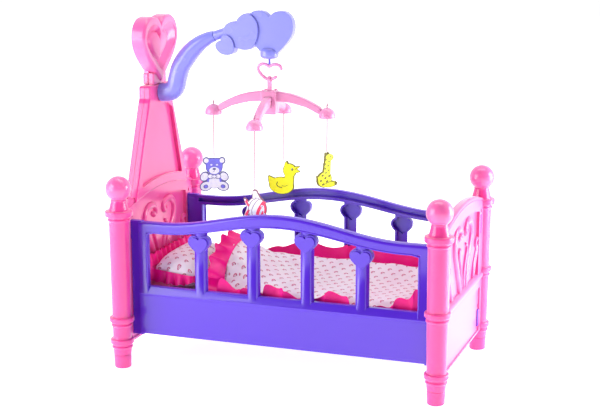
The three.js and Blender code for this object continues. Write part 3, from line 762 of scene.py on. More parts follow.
def make_tower():
    front = slab(tower_outline(), TOWER_SEAM - 3, TOWER_FACE, "YZ", 2.2, 4)
    cut(front, block(TOWER_SEAM - 12, TOWER_SEAM + 0.1, -120, 120, 200, 400))
    recess = []
    for i in range(21):
        y = -66 + 6.6 * i
        recess.append((y, arch(y, ARCH_TOP) + 7, 5 if i in (0, 20) else 0))
    recess += [(tower_half(338) - 6, 338, 6), (20, 347, 10), (-20, 347, 10), (6 - tower_half(338), 338, 6)]
    cut(front, slab(fillet(recess), TOWER_FACE - 5, TOWER_FACE + 8, "YZ", 1.6, 3), board_room())
    finish_piece(front, "tower_front_moulding", PINK, "cot", ["tower_front_shell"])
    rear = slab(tower_outline(), TOWER_BACK, TOWER_SEAM + 3, "YZ", 2.2, 4)
    cut(rear, block(TOWER_SEAM - 0.4, TOWER_SEAM + 12, -120, 120, 200, 400))
    cutters = [along_x(3.8, TOWER_BACK - 4, TOWER_BACK + 3, y, z) for y, z in SCREWS]
    cut(rear, board_room(), *cutters)
    finish_piece(rear, "tower_rear_moulding", PINK, "cot", ["tower_rear_shell"])
    for i, (y, z) in enumerate(SCREWS):
        head = along_x(3.4, TOWER_BACK + 0.7, TOWER_BACK + 2.6, y, z)
        round_edges(head, 0.6, 3)
        slots = [block(TOWER_BACK, TOWER_BACK + 1.6, y - a, y + a, z - b, z + b)
                 for a, b in ((2.3, 0.45), (0.45, 2.3))]
        cut(head, *slots)
        finish_piece(head, f"screw_head_{i + 1}", STEEL, "cot", [f"tower_screw_{i + 1}"])


def make_finial():
    """A thick heart whose face is a rim around a recess with a swollen heart in it."""
    x0, x1 = -229.6, -208.0
    tip = 379
    depth = 7.3
    outer = placed(heart(53.5, 90.5, 79, 62, 16), 0, (0, tip))
    inner = placed(heart(47, 64, 49, 47, 16), 0, (0, tip + 15))
    middle = (0, 432)

    def ring(towards, share, x):
        """The outer outline moved a share of the way to the inner one, or the inner one to the middle."""
        found = []
        for a, b in zip(outer, inner):
            start, end = (a, b) if towards == "inner" else (b, middle)
            found.append((x, start[0] + (end[0] - start[0]) * share, start[1] + (end[1] - start[1]) * share))
        return found

    lip = 4.5
    back_and_rim = [(0.5, x0), (0.12, x0 + 0.9), (0, x0 + 4), (0, x1 - lip)]
    for k in range(1, 7):
        a = math.pi / 2 * k / 6
        back_and_rim.append((0.35 * (1 - math.cos(a)), x1 - lip + lip * math.sin(a)))
    back_and_rim += [(0.8, x1), (0.95, x1 - 0.4), (1, x1 - 1.4)]
    rings = [ring("inner", *place) for place in back_and_rim]
    for share, low in ((0.05, 2.4), (0.11, 4.0), (0.18, 5.6), (0.25, 6.9), (0.3, 7.6), (0.325, 7.8),
                       (0.35, depth)):
        rings.append(ring("middle", share, x1 - low))
    swell = 5.0
    for k in range(1, 13):
        share = 0.35 + 0.64 * k / 12
        rise = swell * math.sqrt(max(0.0, 1 - ((0.99 - share) / 0.64) ** 2.2))
        rings.append(ring("middle", share, x1 - depth + rise))
    body = tube(rings)
    neck = block(TOWER_BACK, -212, -20.5, 20.5, TOWER_TOP + 0.3, 391, 1.8, 4)
    inside = block(TOWER_BACK + 1, -220, -19, 19, 386, 402, 1)
    slots = [block(-221.5, -215.2, side * 18.8, side * 24, TOWER_TOP - 5, 391.5, 0.6) for side in (-1, 1)]
    cut(neck, *slots)
    union(body, neck, inside)
    # The finial takes the lighter copy of the pink plastic, painted light.
    finish_piece(body, "heart_finial_moulding", PINK_PAINTED_LIGHTER, "cot", ["heart_finial"])


# ---------------------------------------------------------------- arm, hearts and hook

ARM_ROUTE = [(-210.7, 363), (-201, 363.8), (-192, 367), (-187.5, 374), (-185, 384), (-179.5, 400.5),
             (-167, 418), (-153, 431.3), (-141.5, 438.5), (-136, 441.2), (-128.5, 443.8)]
ARM_R = 13.4
ARM_END_R = 7.2
SOCKET_END = ARM_ROUTE[-1]
SOCKET_ANGLE = math.radians(19)


def in_xz(points):
    return [(x, 0, z) for x, z in points]


def make_arm():
    def radius(t):
        r = ARM_R - (ARM_R - ARM_END_R) * max(0.0, (t - 0.55) / 0.45) ** 1.6
        return (r, r)

    arm = sweep(smooth_path(in_xz(ARM_ROUTE), 8), radius, domes=False)
    smooth = arm.modifiers.new("smooth", "SMOOTH")
    smooth.iterations = 4
    bake(arm)
    finish_piece(arm, "arm_tube", LILAC, "cot", ["mobile_arm"])


def heart_plate(sizes, tip_x, tip_z, degrees, y0, y1, rounding, blunt=True):
    outline = placed(heart(*sizes, 14, blunt), math.radians(degrees), (tip_x, tip_z))
    return slab(outline, y0, y1, "XZ", rounding, 6)


def make_bracket():
    bracket = heart_plate((34, 67, 58, 45), -47.3, 413, 0, -6, 6, 3.4, False)
    cut(bracket, block(-100, 0, -20, 20, 400, 419))
    medium = heart_plate((25.5, 45.5, 40.5, 29), -73, 428.7, 30, -9, 5.5, 3)
    small = heart_plate((13, 26.5, 23.5, 16), -98.2, 422.1, 47, -12, 5, 2.6)
    neck = block(-104, -62, -5, 4.8, 434, 447, 2)
    knob_profile = turned_profile([(0, 416), (9.5, 416, 3), (12.5, 418.5, 4), (12.7, 422.5, 4),
                                   (12.5, 426.5, 3), (10.5, 429.5, 2.5), (0, 429.5)])
    knob = lathe(knob_profile, MOBILE_X, 0, 48)
    direction = Vector((math.cos(SOCKET_ANGLE), 0, math.sin(SOCKET_ANGLE)))
    end = Vector((SOCKET_END[0], 0, SOCKET_END[1]))
    socket = sweep([end + direction * d for d in (0.3, 7, 20)], lambda t: (6.5, 6.5), domes=False)
    union(bracket, medium, small, neck, knob, socket)
    finish_piece(bracket, "heart_bracket_moulding", LILAC, "cot", ["heart_bracket"])


def make_hook():
    pin_profile = turned_profile([(0, 407.9), (1.5, 407.9, 0.2), (1.5, 415, 0.4), (2.6, 415.2, 0.2),
                                  (2.6, 415.8, 0.2), (0, 415.8)])
    pin = lathe(pin_profile, MOBILE_X, 0, 32)
    finish_piece(pin, "swivel_pin", DEEP_VIOLET, "swivel", ["hanger_pin"])
    route = [(17, 402.5), (15.2, 406.3), (10, 408), (4.4, 407.4), (0, 405.2), (-4.4, 407.4), (-10, 408.2),
             (-15, 405.6), (-16.2, 400.5), (-12.5, 394.5), (-7, 389.8), (-2.5, 387.7), (0, 387.4),
             (2.5, 387.7), (9.2, 391)]
    path = smooth_path(in_xz([(MOBILE_X + x, z) for x, z in route]), 6)
    hook = sweep(path, lambda t: (2.2, 2.2))
    finish_piece(hook, "heart_hook_wire", PALE_PINK, "swivel", ["heart_hook"])


# ---------------------------------------------------------------- mobile

def turn_to_cross(obj, extra=0.0):
    move = Matrix.Translation((MOBILE_X * MM, 0, 0))
    obj.data.transform(move @ Matrix.Rotation(CROSS_TURN + extra, 4, "Z"))


def bar_slab(drop):
    upper = [(0, 371.8), (14, 371.8), (30, 369.4), (41, 366.5), (50, 363), (59, 358.8), (66, 355),
             (72, 351.5)]
    lower = [(72, 341), (64, 345), (52, 351), (41, 354), (28, 357), (14, 358), (0, 358)]
    right = [(r, z - drop) for r, z in upper + lower]
    left = [(-r, z) for r, z in reversed(right[1:-1])]
    return slab(right + left, -5, 5, "XZ", 2.4, 4)


def cap_room(rim, reach):
    return lathe([(0, rim - 4), (CAP_R + 0.3, rim - 4), (CAP_R + 0.3, rim + 2), (CAP_R * 0.8, rim + 10),
                  (CAP_R * 0.45, rim + 13.6), (0, rim + CAP_H + 0.3)], reach, 0, 48)


def make_cross():
    long_bar = bar_slab(0)
    cut(long_bar, cap_room(CAP_RIM[0], ARM_REACH), cap_room(CAP_RIM[0], -ARM_REACH))
    hub = block(-10.5, 10.5, -10.5, 10.5, 341, 372.4, 1.6, 3)
    knobs = [lathe(turned_profile([(0, 370), (2.4, 370, 0.3), (2.4, 374, 1), (0, 374)]), a, b, 24)
             for a in (-7, 7) for b in (-7, 7)]
    union(long_bar, hub, *knobs)
    cut(long_bar, block(-5.3, 5.3, -20, 20, 350.7, 365.1))
    turn_to_cross(long_bar)
    plate = fillet([(-4.2, 366), (4.2, 366), (4.2, 388.5, 3), (2, 392.3, 2), (-2, 392.3, 2),
                    (-4.2, 388.5, 3)])
    eye = slab(plate, -2, 2, "YZ", 0.9, 3)
    hole = fillet([(-2.5, 375, 1), (2.5, 375, 1), (2.5, 390.6, 1.8), (-2.5, 390.6, 1.8)])
    cut(eye, slab(hole, -4, 4, "YZ"))
    for vertex in eye.data.vertices:
        vertex.co.x += MOBILE_X * MM
    union(long_bar, eye)
    finish_piece(long_bar, "cross_bar_upper", PALE_PINK, "mobile", ["cross_bar_long"])
    short_bar = bar_slab(CAP_RIM[0] - CAP_RIM[1])
    cut(short_bar, cap_room(CAP_RIM[1], ARM_REACH), cap_room(CAP_RIM[1], -ARM_REACH))
    turn_to_cross(short_bar, math.pi / 2)
    finish_piece(short_bar, "cross_bar_lower", PALE_PINK, "mobile", ["cross_bar_short"])


def make_caps():
    for name, hanger in HANGERS.items():
        x, y = hanger_place(name)
        rim = CAP_RIM[hanger["bar"]]
        outer = [(1.1, rim + CAP_H)]
        for i in range(1, 13):
            a = math.pi / 2 * (1 - i / 12)
            outer.append((CAP_R * math.cos(a), rim + 2 + (CAP_H - 2) * math.sin(a)))
        outer += [(CAP_R, rim + 0.6), (CAP_R - 0.5, rim), (CAP_R - 1.3, rim)]
        inner = []
        for i in range(12):
            a = math.pi / 2 * i / 12
            inner.append(((CAP_R - 1.6) * math.cos(a), rim + 1 + (CAP_H - 3.2) * math.sin(a)))
        inner.append((1.1, rim + CAP_H - 2.2))
        shell = lathe(outer + inner, x, y, 48, True)
        finish_piece(shell, f"cap_{name}", PALE_PINK, "mobile", [f"string_cap_{name}"], 50)


# ---------------------------------------------------------------- hanging figures

def oval(a, b, ra, rb, degrees=0.0):
    """An ellipse around (a, b), turned by an angle."""
    count = 36
    turns = [TAU * k / count for k in range(count)]
    return placed([(ra * math.cos(t), rb * math.sin(t)) for t in turns], math.radians(degrees), (a, b))


def stroke(points, width):
    """The outline of a pen line of the given width through 2-D points."""
    path = smooth_path([(a, b, 0) for a, b in points], 4)
    left, right = [], []
    last = len(path) - 1
    for i, p in enumerate(path):
        along = (path[min(i + 1, last)] - path[max(i - 1, 0)]).normalized()
        side = Vector((-along.y, along.x, 0)) * width / 2
        left.append(tuple((p + side)[:2]))
        right.append(tuple((p - side)[:2]))
    return left + right[::-1]


def mirror_pair(outline):
    return [outline, [(-a, b) for a, b in reversed(outline)]]


def bear_layers():
    head = fillet([(-11.5, 25, 9), (11.5, 25, 9), (12.5, 46.5, 8), (-12.5, 46.5, 8)])
    body = oval(0, 16, 11, 13)
    arm = oval(13.6, 20.5, 6, 7.4, 35)
    leg = oval(11.6, 7, 9, 7, -18)
    ear = oval(10.8, 42.6, 5, 5)
    return [
        ("outline", 1.5, [head, body, *mirror_pair(arm), *mirror_pair(leg), *mirror_pair(ear)]),
        ("fill", 1.62, [scaled(head, 0.93, (0, 35.5)), scaled(body, 0.9, (0, 16))]),
        ("pale", 1.7, [*mirror_pair(oval(10.9, 43, 3.3, 3.3)), *mirror_pair(scaled(arm, 0.8, (13.6, 20.5))),
                       *mirror_pair(scaled(leg, 0.84, (11.6, 7))), oval(0, 12.5, 7.6, 9.2), oval(0, 29, 7, 5),
                       *mirror_pair(oval(3.9, 37, 1.5, 1.1))]),
        ("outline", 1.78, [oval(0, 31.2, 2.4, 1.4), *mirror_pair(oval(5, 20.8, 4.3, 3.6)),
                           oval(0, 20.6, 2.6, 2.8), stroke([(0, 30), (0, 28), (-1.4, 27)], 0.6),
                           *mirror_pair(oval(11.9, 6.6, 3.3, 2.7, -18))]),
        ("pale", 1.86, [*mirror_pair(oval(5.2, 20.8, 3.4, 2.7)), oval(0, 20.6, 1.8, 2)]),
        ("fill", 1.86, [*mirror_pair(oval(11.9, 6.6, 2.5, 2, -18))]),
        ("outline", 1.94, [*mirror_pair(stroke([(3.4, 22.4), (3.2, 20.8), (3.6, 19.4)], 0.7))]),
    ]


def duck_layers():
    body = oval(-3.5, 12.6, 19, 12.6)
    head = oval(9, 35, 10.2, 10.4)
    neck = fillet([(0, 14, 3), (15, 14, 3), (16, 34, 3), (2, 34, 3)])
    tail = [(-24.2, 25.6), (-23.4, 17), (-21, 9), (-6, 12), (-8, 21), (-22.8, 26.2)]
    beak = [[(15, 31), (24.2, 33.4), (24.4, 35), (18.5, 37.6), (15, 37)],
            [(14, 36), (19, 36.2), (24.2, 41), (23.4, 42.3), (13, 41)]]
    tuft = [(0.4, 40), (9, 41), (6, 48), (4.4, 48.8), (1.6, 46)]
    return [
        ("outline", 1.5, [body, head, neck, tail, *beak, tuft]),
        ("fill", 1.62, [scaled(body, 0.94, (-3.5, 12.6)), scaled(head, 0.91, (9, 35)),
                        scaled(neck, 0.9, (8, 24)), scaled(tail, 0.86, (-16, 18)),
                        *[scaled(b, 0.84, (18, 37)) for b in beak], scaled(tuft, 0.7, (3, 43.5))]),
        ("outline", 1.7, [stroke([(-9, 18), (-10.5, 14), (-8, 10.6), (-2, 9.6)], 1.4), oval(13, 37, 1.8, 2.1),
                          stroke([(17, 37), (19, 38.6), (21, 41)], 0.9),
                          stroke([(-3, 12.5), (2, 12), (6, 13.5)], 0.9)]),
        ("pale", 1.78, [oval(12.6, 37.6, 0.8, 0.9)]),
    ]


def fish_layers():
    body = oval(2.5, 19, 14, 16)
    tail_up = [(-11, 19), (-4, 17), (-4, 24), (-14.6, 33), (-16.2, 32)]
    tail_down = [(-16.2, 7), (-14.6, 6), (-4, 16), (-4, 23), (-11, 21)]
    top_fin = [(-4, 30), (10, 31), (2.4, 44.4), (-1.8, 44.6), (-3, 43)]
    low_fin = [(0.4, 7), (4, 0.8), (5.4, 0.8), (10, 8)]
    return [
        ("outline", 1.5, [body, tail_up, tail_down, top_fin, low_fin]),
        ("pale", 1.62, [scaled(body, 0.94, (2.5, 19)), scaled(tail_up, 0.84, (-8, 23)),
                        scaled(tail_down, 0.84, (-8, 17)), scaled(top_fin, 0.84, (2, 34)),
                        scaled(low_fin, 0.76, (5, 6))]),
        ("fill", 1.7, [stroke([(3, 6), (5, 16), (11, 26), (13.4, 29)], 4.4),
                       stroke([(14.4, 14), (15, 20), (13.6, 26)], 2.6),
                       stroke([(-12.5, 29.5), (-10, 24.5), (-8, 22)], 3.2),
                       stroke([(-12.8, 9), (-10, 14), (-8, 17)], 3.2),
                       [(8, 6), (10, 6.4), (13, 9.4), (12, 17), (10.4, 16), (8.6, 12)]]),
        ("outline", 1.74, [stroke([(-7, 9), (-9, 18), (-4.5, 28.5), (2.5, 33)], 0.8),
                           stroke([(-2.6, 6), (-4, 17), (1, 27), (6, 32)], 0.8),
                           stroke([(-4.5, 32.2), (3, 33.8), (9, 31)], 0.7)]),
        ("pale", 1.8, [oval(10.4, 23, 1.7, 1.5)]),
        ("outline", 1.88, [oval(10.7, 23, 0.8, 0.8)]),
    ]


def giraffe_layers():
    body = oval(-5, 12, 13, 11)
    neck = fillet([(-9, 13, 3), (5, 13, 3), (6.5, 42, 3), (-3.2, 43.5, 3)])
    muzzle = oval(3.4, 41.6, 7.6, 5, -8)
    legs = oval(5, 4.6, 13, 4.5)
    horns = [fillet([(-3.6, 42, 0.6), (-3.4, 48.8, 1), (-1.4, 48.8, 1), (-0.6, 43, 0.6)]),
             fillet([(0.4, 43, 0.6), (1.2, 48.8, 1), (3, 48.8, 1), (3.4, 43, 0.6)])]
    tail = fillet([(-18.6, 20, 1.5), (-17, 8, 2), (-10, 13, 2)])
    neck_spots = ((-3, 39), (2.6, 36), (-4.4, 33), (1, 30.4), (-4, 27), (2, 24), (-3, 21))
    body_spots = ((-9, 18), (-12, 11), (-4, 14), (-1, 9), (-8, 5.6), (3, 16))
    spots = [oval(a, b, 1.5, 1.1, 30) for a, b in neck_spots]
    spots += [oval(a, b, 2, 1.4, 20) for a, b in body_spots]
    return [
        ("outline", 1.5, [body, neck, muzzle, legs, *horns, tail]),
        ("fill", 1.62, [scaled(body, 0.92, (-5, 12)), scaled(neck, 0.9, (0, 28)),
                        scaled(muzzle, 0.86, (3.4, 41.6)), scaled(legs, 0.84, (5, 4.6)),
                        scaled(tail, 0.7, (-15, 13))]),
        ("outline", 1.7, [*spots, oval(5.4, 43, 1, 1.2), oval(9, 40.6, 0.6, 0.5), oval(15, 4.2, 2.3, 2.9),
                          stroke([(-9, 4.6), (-2, 6.6), (6, 8), (13, 6)], 0.8)]),
    ]


def scaled(outline, share, centre):
    return [(centre[0] + (a - centre[0]) * share, centre[1] + (b - centre[1]) * share) for a, b in outline]


def printed_figure(name, layers, inks):
    """Flat plates of growing thickness on one middle plane, so that each ink stands proud on both faces."""
    order = list(inks)
    bm = bmesh.new()
    for ink, half, outlines in layers:
        plate = union(*[slab(outline, -half, half, "XZ") for outline in outlines])
        for polygon in plate.data.polygons:
            polygon.material_index = order.index(ink)
        bm.from_mesh(plate.data)
        drop(plate)
    mesh = bpy.data.meshes.new(f"{name}_figure_plate")
    bm.to_mesh(mesh)
    bm.free()
    hanger = HANGERS[name]
    x, y = hanger_place(name)
    move = Matrix.Translation((x * MM, y * MM, (hanger["top"] - hanger["height"]) * MM))
    mesh.transform(move @ Matrix.Rotation(math.radians(hanger["facing"]), 4, "Z"))
    for material in inks.values():
        mesh.materials.append(material)
    mesh.shade_smooth()
    mesh.set_sharp_from_angle(angle=math.radians(35))
    figure = link(bpy.data.objects.new(f"{name}_figure_plate", mesh))
    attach(figure, f"{name}_figure")
    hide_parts(f"figure_{name}")
    return figure


def make_figures():
    # The third number is each ink's painted glow, its emission strength; yellow, straw and red keep the
    # default 0.3.
    pale = printed_sheet("pale_ink", rgb(238, 238, 252), 0.14)
    slate = printed_sheet("slate_ink", rgb(96, 96, 160), 0.05)
    periwinkle = printed_sheet("periwinkle_ink", rgb(122, 118, 232), 0.15)
    olive = printed_sheet("olive_ink", rgb(116, 116, 24), 0.05)
    yellow = printed_sheet("yellow_ink", rgb(244, 255, 12))
    straw = printed_sheet("straw_ink", rgb(226, 238, 26))
    maroon = printed_sheet("maroon_ink", rgb(140, 84, 110), 0.05)
    red = printed_sheet("red_ink", rgb(238, 56, 100))
    looks = {
        "bear": (bear_layers(), {"outline": slate, "fill": periwinkle, "pale": pale}, "figure_violet"),
        "duck": (duck_layers(), {"outline": olive, "fill": yellow, "pale": pale}, "figure_yellow"),
        "fish": (fish_layers(), {"outline": maroon, "fill": red, "pale": pale}, "figure_red"),
        "giraffe": (giraffe_layers(), {"outline": olive, "fill": straw, "pale": pale}, "figure_yellow"),
    }
    for name, (layers, inks, slot) in looks.items():
        printed_figure(name, layers, inks)


# ---------------------------------------------------------------- cloth materials

def printed_cotton(name, tilt=0.0):
    """White cotton with a small two-colour sprig print, half-drop, and a plain weave.

    tilt lays the print on a slope; on a steep side the print runs up the side instead of across it."""
    n = Nodes(name)
    across, down = 0.0145, 0.021

    def vector_math(operation, inputs):
        return n.node("ShaderNodeVectorMath", inputs, operation=operation).outputs["Vector"]

    turned = n.node("ShaderNodeVectorRotate", {"Vector": n.place, "Angle": tilt}, rotation_type="Y_AXIS")
    warp = n.node("ShaderNodeTexNoise", {"Vector": n.place, "Scale": 22.0, "Detail": 1.0}).outputs["Color"]
    small = vector_math("SCALE", {0: vector_math("SUBTRACT", {0: warp, 1: (0.5, 0.5, 0.5)}), "Scale": 0.006})
    moved = vector_math("ADD", {0: turned.outputs["Vector"], 1: small})
    spots = n.node("ShaderNodeSeparateXYZ", {"Vector": moved}).outputs
    slopes = n.node("ShaderNodeSeparateXYZ", {"Vector": n.normal}).outputs
    axes = []
    for axis in (0, 1):
        steep = n.math("GREATER_THAN", n.math("ABSOLUTE", slopes[axis]), 0.75)
        rise = n.math("SUBTRACT", spots[2], spots[axis])
        axes.append(n.math("ADD", spots[axis], n.math("MULTIPLY", steep, rise)))

    def cell(offset):
        """Place inside a cell of the print, in millimetres from its middle."""
        found = []
        for axis, size in ((0, across), (1, down)):
            t = n.math("FRACT", n.math("ADD", n.math("DIVIDE", axes[axis], size), offset))
            found.append(n.math("MULTIPLY", n.math("SUBTRACT", t, 0.5), size * 1000))
        return found

    def blob(u, v, at_u, at_v, radius):
        du, dv = n.math("SUBTRACT", u, at_u), n.math("SUBTRACT", v, at_v)
        distance = n.math("SQRT", n.math("ADD", n.math("MULTIPLY", du, du), n.math("MULTIPLY", dv, dv)))
        return distance, n.ramp(distance, radius, radius + 0.22, 1.0, 0.0)

    curls = dots = 0.0
    for offset in (0.0, 0.5):
        u, v = cell(offset)
        distance, disc = blob(u, v, 0.0, 0.0, 2.7)
        hollow = n.ramp(distance, 1.15, 1.4, 0.0, 1.0)
        opening = n.ramp(n.math("SUBTRACT", u, v), 1.4, 1.8, 1.0, 0.0)
        ring = n.math("MULTIPLY", n.math("MULTIPLY", disc, hollow), opening)
        curls = n.math("MAXIMUM", curls, ring)
        dots = n.math("MAXIMUM", dots, blob(u, v, 2.1, 1.2, 0.7)[1])
        dots = n.math("MAXIMUM", dots, blob(u, v, -0.1, -0.1, 0.6)[1])
    ground = n.mix(n.ramp(n.noise(30.0, 3.0), 0.35, 0.7), (0.93, 0.88, 0.92, 1), (0.9, 0.78, 0.86, 1))
    base = n.mix(n.math("MULTIPLY", curls, 0.85), ground, rgb(204, 58, 116))
    base = n.mix(n.math("MULTIPLY", dots, 0.8), base, rgb(150, 60, 96))
    n.set(
        Base_Color=base, Roughness=n.ramp(n.noise(400.0, 2.0), 0.3, 0.7, 0.82, 0.94),
        Sheen_Weight=0.25, Subsurface_Weight=0.08, Subsurface_Scale=0.003,
    )
    threads = [n.math("SINE", n.math("MULTIPLY", axis, 9000.0)) for axis in axes]
    n.bump(n.math("MULTIPLY", *threads), 0.35, 0.00012)
    return n.material


def satin(name, color, deep):
    """Hot satin: a fine twill, long soft highlights and deeper colour in patches."""
    n = Nodes(name)
    patches = n.ramp(n.noise(38.0, 3.0), 0.35, 0.7)
    twill = n.node("ShaderNodeTexWave", {"Vector": n.place, "Scale": 900.0, "Distortion": 0.3},
                   bands_direction="DIAGONAL").outputs["Fac"]
    base = n.mix(n.math("MULTIPLY", patches, 0.5), color, deep)
    n.set(
        Base_Color=n.mix(n.math("MULTIPLY", twill, 0.12), base, deep),
        Roughness=n.ramp(n.noise(120.0, 3.0), 0.3, 0.7, 0.3, 0.42),
        Sheen_Weight=0.08, Sheen_Tint=(1.0, 0.4, 0.7, 1.0), Anisotropic=0.4, Specular_IOR_Level=0.3,
    )
    n.bump(twill, 0.2, 0.0001)
    return n.material


# ---------------------------------------------------------------- bedding

def lerp_table(table, t):
    """A smooth value from a table of (place, value) pairs."""
    if t <= table[0][0]:
        return table[0][1]
    for (a, u), (b, v) in zip(table, table[1:]):
        if t <= b:
            k = (t - a) / (b - a)
            k = k * k * (3 - 2 * k)
            return u + (v - u) * k
    return table[-1][1]


def voxels(obj, size):
    remesh = obj.modifiers.new("remesh", "REMESH")
    remesh.mode = "VOXEL"
    remesh.voxel_size = size * MM
    return bake(obj)


def puff(obj, voxel, pressure, cap):
    """Swells a closed mesh with the cloth solver, and limits how far a point may move."""
    voxels(obj, voxel)
    steps = 20
    rest = [v.co.copy() for v in obj.data.vertices]
    cloth = obj.modifiers.new("cloth", "CLOTH")
    settings = cloth.settings
    settings.use_pressure = True
    settings.uniform_pressure_force = pressure
    settings.quality = 6
    settings.mass = 0.3
    settings.tension_stiffness = 12
    settings.compression_stiffness = 12
    settings.bending_stiffness = 0.4
    settings.effector_weights.gravity = 0
    cloth.collision_settings.use_collision = False
    cloth.point_cache.frame_start = 1
    cloth.point_cache.frame_end = steps
    scene = bpy.context.scene
    for frame_number in range(1, steps + 1):
        scene.frame_set(frame_number)
    bake(obj)
    scene.frame_set(1)
    for vertex, start in zip(obj.data.vertices, rest):
        move = vertex.co - start
        if move.length > cap * MM:
            vertex.co = start + move.normalized() * cap * MM
    finer = obj.modifiers.new("finer", "SUBSURF")
    finer.levels = 1
    return bake(obj)


def stitched(upper, lower):
    """A closed body from two grids of points, joined along their rims."""
    bm = bmesh.new()
    high, low = [[[bm.verts.new(p) for p in row] for row in grid] for grid in (upper, lower)]
    columns, rows = len(upper) - 1, len(upper[0]) - 1
    for sheet in (high, low):
        for i in range(columns):
            for j in range(rows):
                bm.faces.new((sheet[i][j], sheet[i + 1][j], sheet[i + 1][j + 1], sheet[i][j + 1]))
    rim = [(i, 0) for i in range(columns)] + [(columns, j) for j in range(rows)]
    rim += [(i, rows) for i in range(columns, 0, -1)] + [(0, j) for j in range(rows, 0, -1)]
    for (i, j), (k, m) in zip(rim, rim[1:] + rim[:1]):
        bm.faces.new((high[i][j], high[k][m], low[k][m], low[i][j]))
    return link_temp(bm)


def crease(obj, heights, clear):
    """Moves every point along its normal by a height in millimetres, kept inside the box clear."""
    normals = [v.normal.copy() for v in obj.data.vertices]
    for vertex, normal in zip(obj.data.vertices, normals):
        place = vertex.co / MM
        vertex.co += normal * heights(place) * MM
        for axis, (low, high) in enumerate(clear):
            vertex.co[axis] = min(max(vertex.co[axis], low * MM), high * MM)
    obj.data.update()


QUILT_HEAD = -97.0
QUILT_FOOT = 196.0
QUILT_SIDE = 82.0
BED_TOP = 88.0
QUILT_ACROSS = [(-84, 105), (-70, 110), (-50, 109), (0, 110), (25, 112), (55, 120), (72, 130), (84, 134)]
QUILT_HUMP = [(-84, 0), (-66, 1), (-58, 14), (-50, 29), (-31, 43), (-9, 50), (15, 51), (35, 42), (55, 27),
              (72, 3), (84, 0)]


def quilt_top(x, y):
    """Height of the quilt's upper face: low along the front, high at the rear, with a hump at the head."""
    reach = math.exp(-max(0.0, x - QUILT_HEAD) / 46)
    folds = 2.4 * noise.noise(Vector((x / 40, y / 24, 3.1)))
    folds += 1.1 * noise.noise(Vector((x / 15, y / 13, 8.7)))
    return lerp_table(QUILT_ACROSS, y) + lerp_table(QUILT_HUMP, y) * reach + folds


def make_quilt():
    step = 4.0
    soft_edge = 9.0
    half_seam = 1.5
    columns = int((QUILT_FOOT - QUILT_HEAD) / step)
    rows = int(2 * QUILT_SIDE / step)
    upper, lower = [], []
    for i in range(columns + 1):
        x = QUILT_HEAD + (QUILT_FOOT - QUILT_HEAD) * i / columns
        near_head = math.exp((QUILT_HEAD - x) / soft_edge)
        upper.append([])
        lower.append([])
        for j in range(rows + 1):
            y = -QUILT_SIDE + 2 * QUILT_SIDE * j / rows
            border = min(2.5 * (x - QUILT_HEAD), QUILT_FOOT - x, y + QUILT_SIDE, QUILT_SIDE - y)
            round_off = math.sqrt(max(0.0, 1 - (1 - min(border, soft_edge) / soft_edge) ** 2))
            top = quilt_top(x, y) - 2.0 + 11.0 * near_head * min(1.0, lerp_table(QUILT_HUMP, y) / 12)
            seam = BED_TOP + (0.62 + 0.3 * near_head) * (top - BED_TOP)
            high, low = seam + half_seam, seam - half_seam
            upper[-1].append((x, y, high + (top - high) * round_off))
            lower[-1].append((x, y, low + (BED_TOP + 3 - low) * round_off))
    quilt = puff(stitched(upper, lower), 5.0, 4.0, 4.0)

    def wrinkles(place):
        return 0.7 * noise.noise(place / 8)

    crease(quilt, wrinkles, ((QUILT_HEAD - 3, QUILT_FOOT + 4), (-85, 85), (BED_TOP + 0.5, 176)))
    finish_piece(quilt, "quilt_pad", printed_cotton("quilt_print"), "quilt_cover", ["quilt"], 180)
    return quilt


def frill(name, edge, outward, width, pleat, depth, material, body):
    """A gathered strip along an edge of 3-D points.

    outward(i) gives the way it stands at a point and width(i) how far; soft pleats fold it across that."""
    across = 7
    half_thick = 0.5
    count = len(edge)
    lengths = path_lengths(edge)
    bm = bmesh.new()
    rings = []
    for i, start in enumerate(edge):
        along = (edge[min(i + 1, count - 1)] - edge[max(i - 1, 0)]).normalized()
        out = outward(i).normalized()
        side = along.cross(out).normalized()
        s = lengths[i] / pleat
        phase = TAU * (s + 0.3 * noise.noise(Vector((s * 0.4, 1.7, 0.3))))
        swing = math.sin(phase) + 0.1 * math.sin(2.3 * phase + 1.1)
        row = []
        for k in range(across + 1):
            t = k / across
            open_up = t ** 0.8
            place = start + out * width(i) * t * (1 - 0.06 * abs(swing))
            place += side * depth * swing * open_up + along * 0.13 * pleat * math.cos(phase) * open_up
            row.append(place + out * 1.2 * math.sin(2 * phase) * t * t)
        ring = [p + side * half_thick for p in row] + [p - side * half_thick for p in reversed(row)]
        rings.append([bm.verts.new(p) for p in ring])
    skin(bm, rings)
    for ring in (rings[0], rings[-1]):
        for k in range(across):
            bm.faces.new((ring[k], ring[k + 1], ring[-2 - k], ring[-1 - k]))
    strip = link_temp(bm)
    finish_piece(strip, name, material, body, (), 70)
    widest = max(width(i) for i in range(count)) * MM


EDGE_STEP = 1.6

# Upper edges of the quilt's ruffles: (x, z) along its sides, (y, width) at its foot, (y, z) at its head
FRONT_FRILL = [(-97, 112), (-84, 128), (-68, 114), (-55, 118), (-38, 113), (-30, 112), (-20, 125), (0, 122),
               (20, 111), (38, 109), (52, 117), (65, 125), (82, 121), (98, 109), (122, 107), (142, 111),
               (167, 125), (184, 138), (198, 134)]
REAR_FRILL = [(-97, 130), (-75, 131), (-62, 134), (-48, 143), (-24, 145), (-8, 144), (6, 140), (20, 142),
              (36, 146), (58, 146), (80, 141), (112, 143), (150, 141), (198, 139)]
FOOT_FRILL = [(-80, 26), (-50, 18), (-10, 20), (30, 24), (60, 36), (80, 40)]
HEAD_EDGE = [(-78, 94), (-66, 103), (-60, 117), (-56, 129), (-49, 140), (-31, 152), (-9, 160), (15, 161),
             (35, 155), (55, 146), (70, 134), (78, 122)]


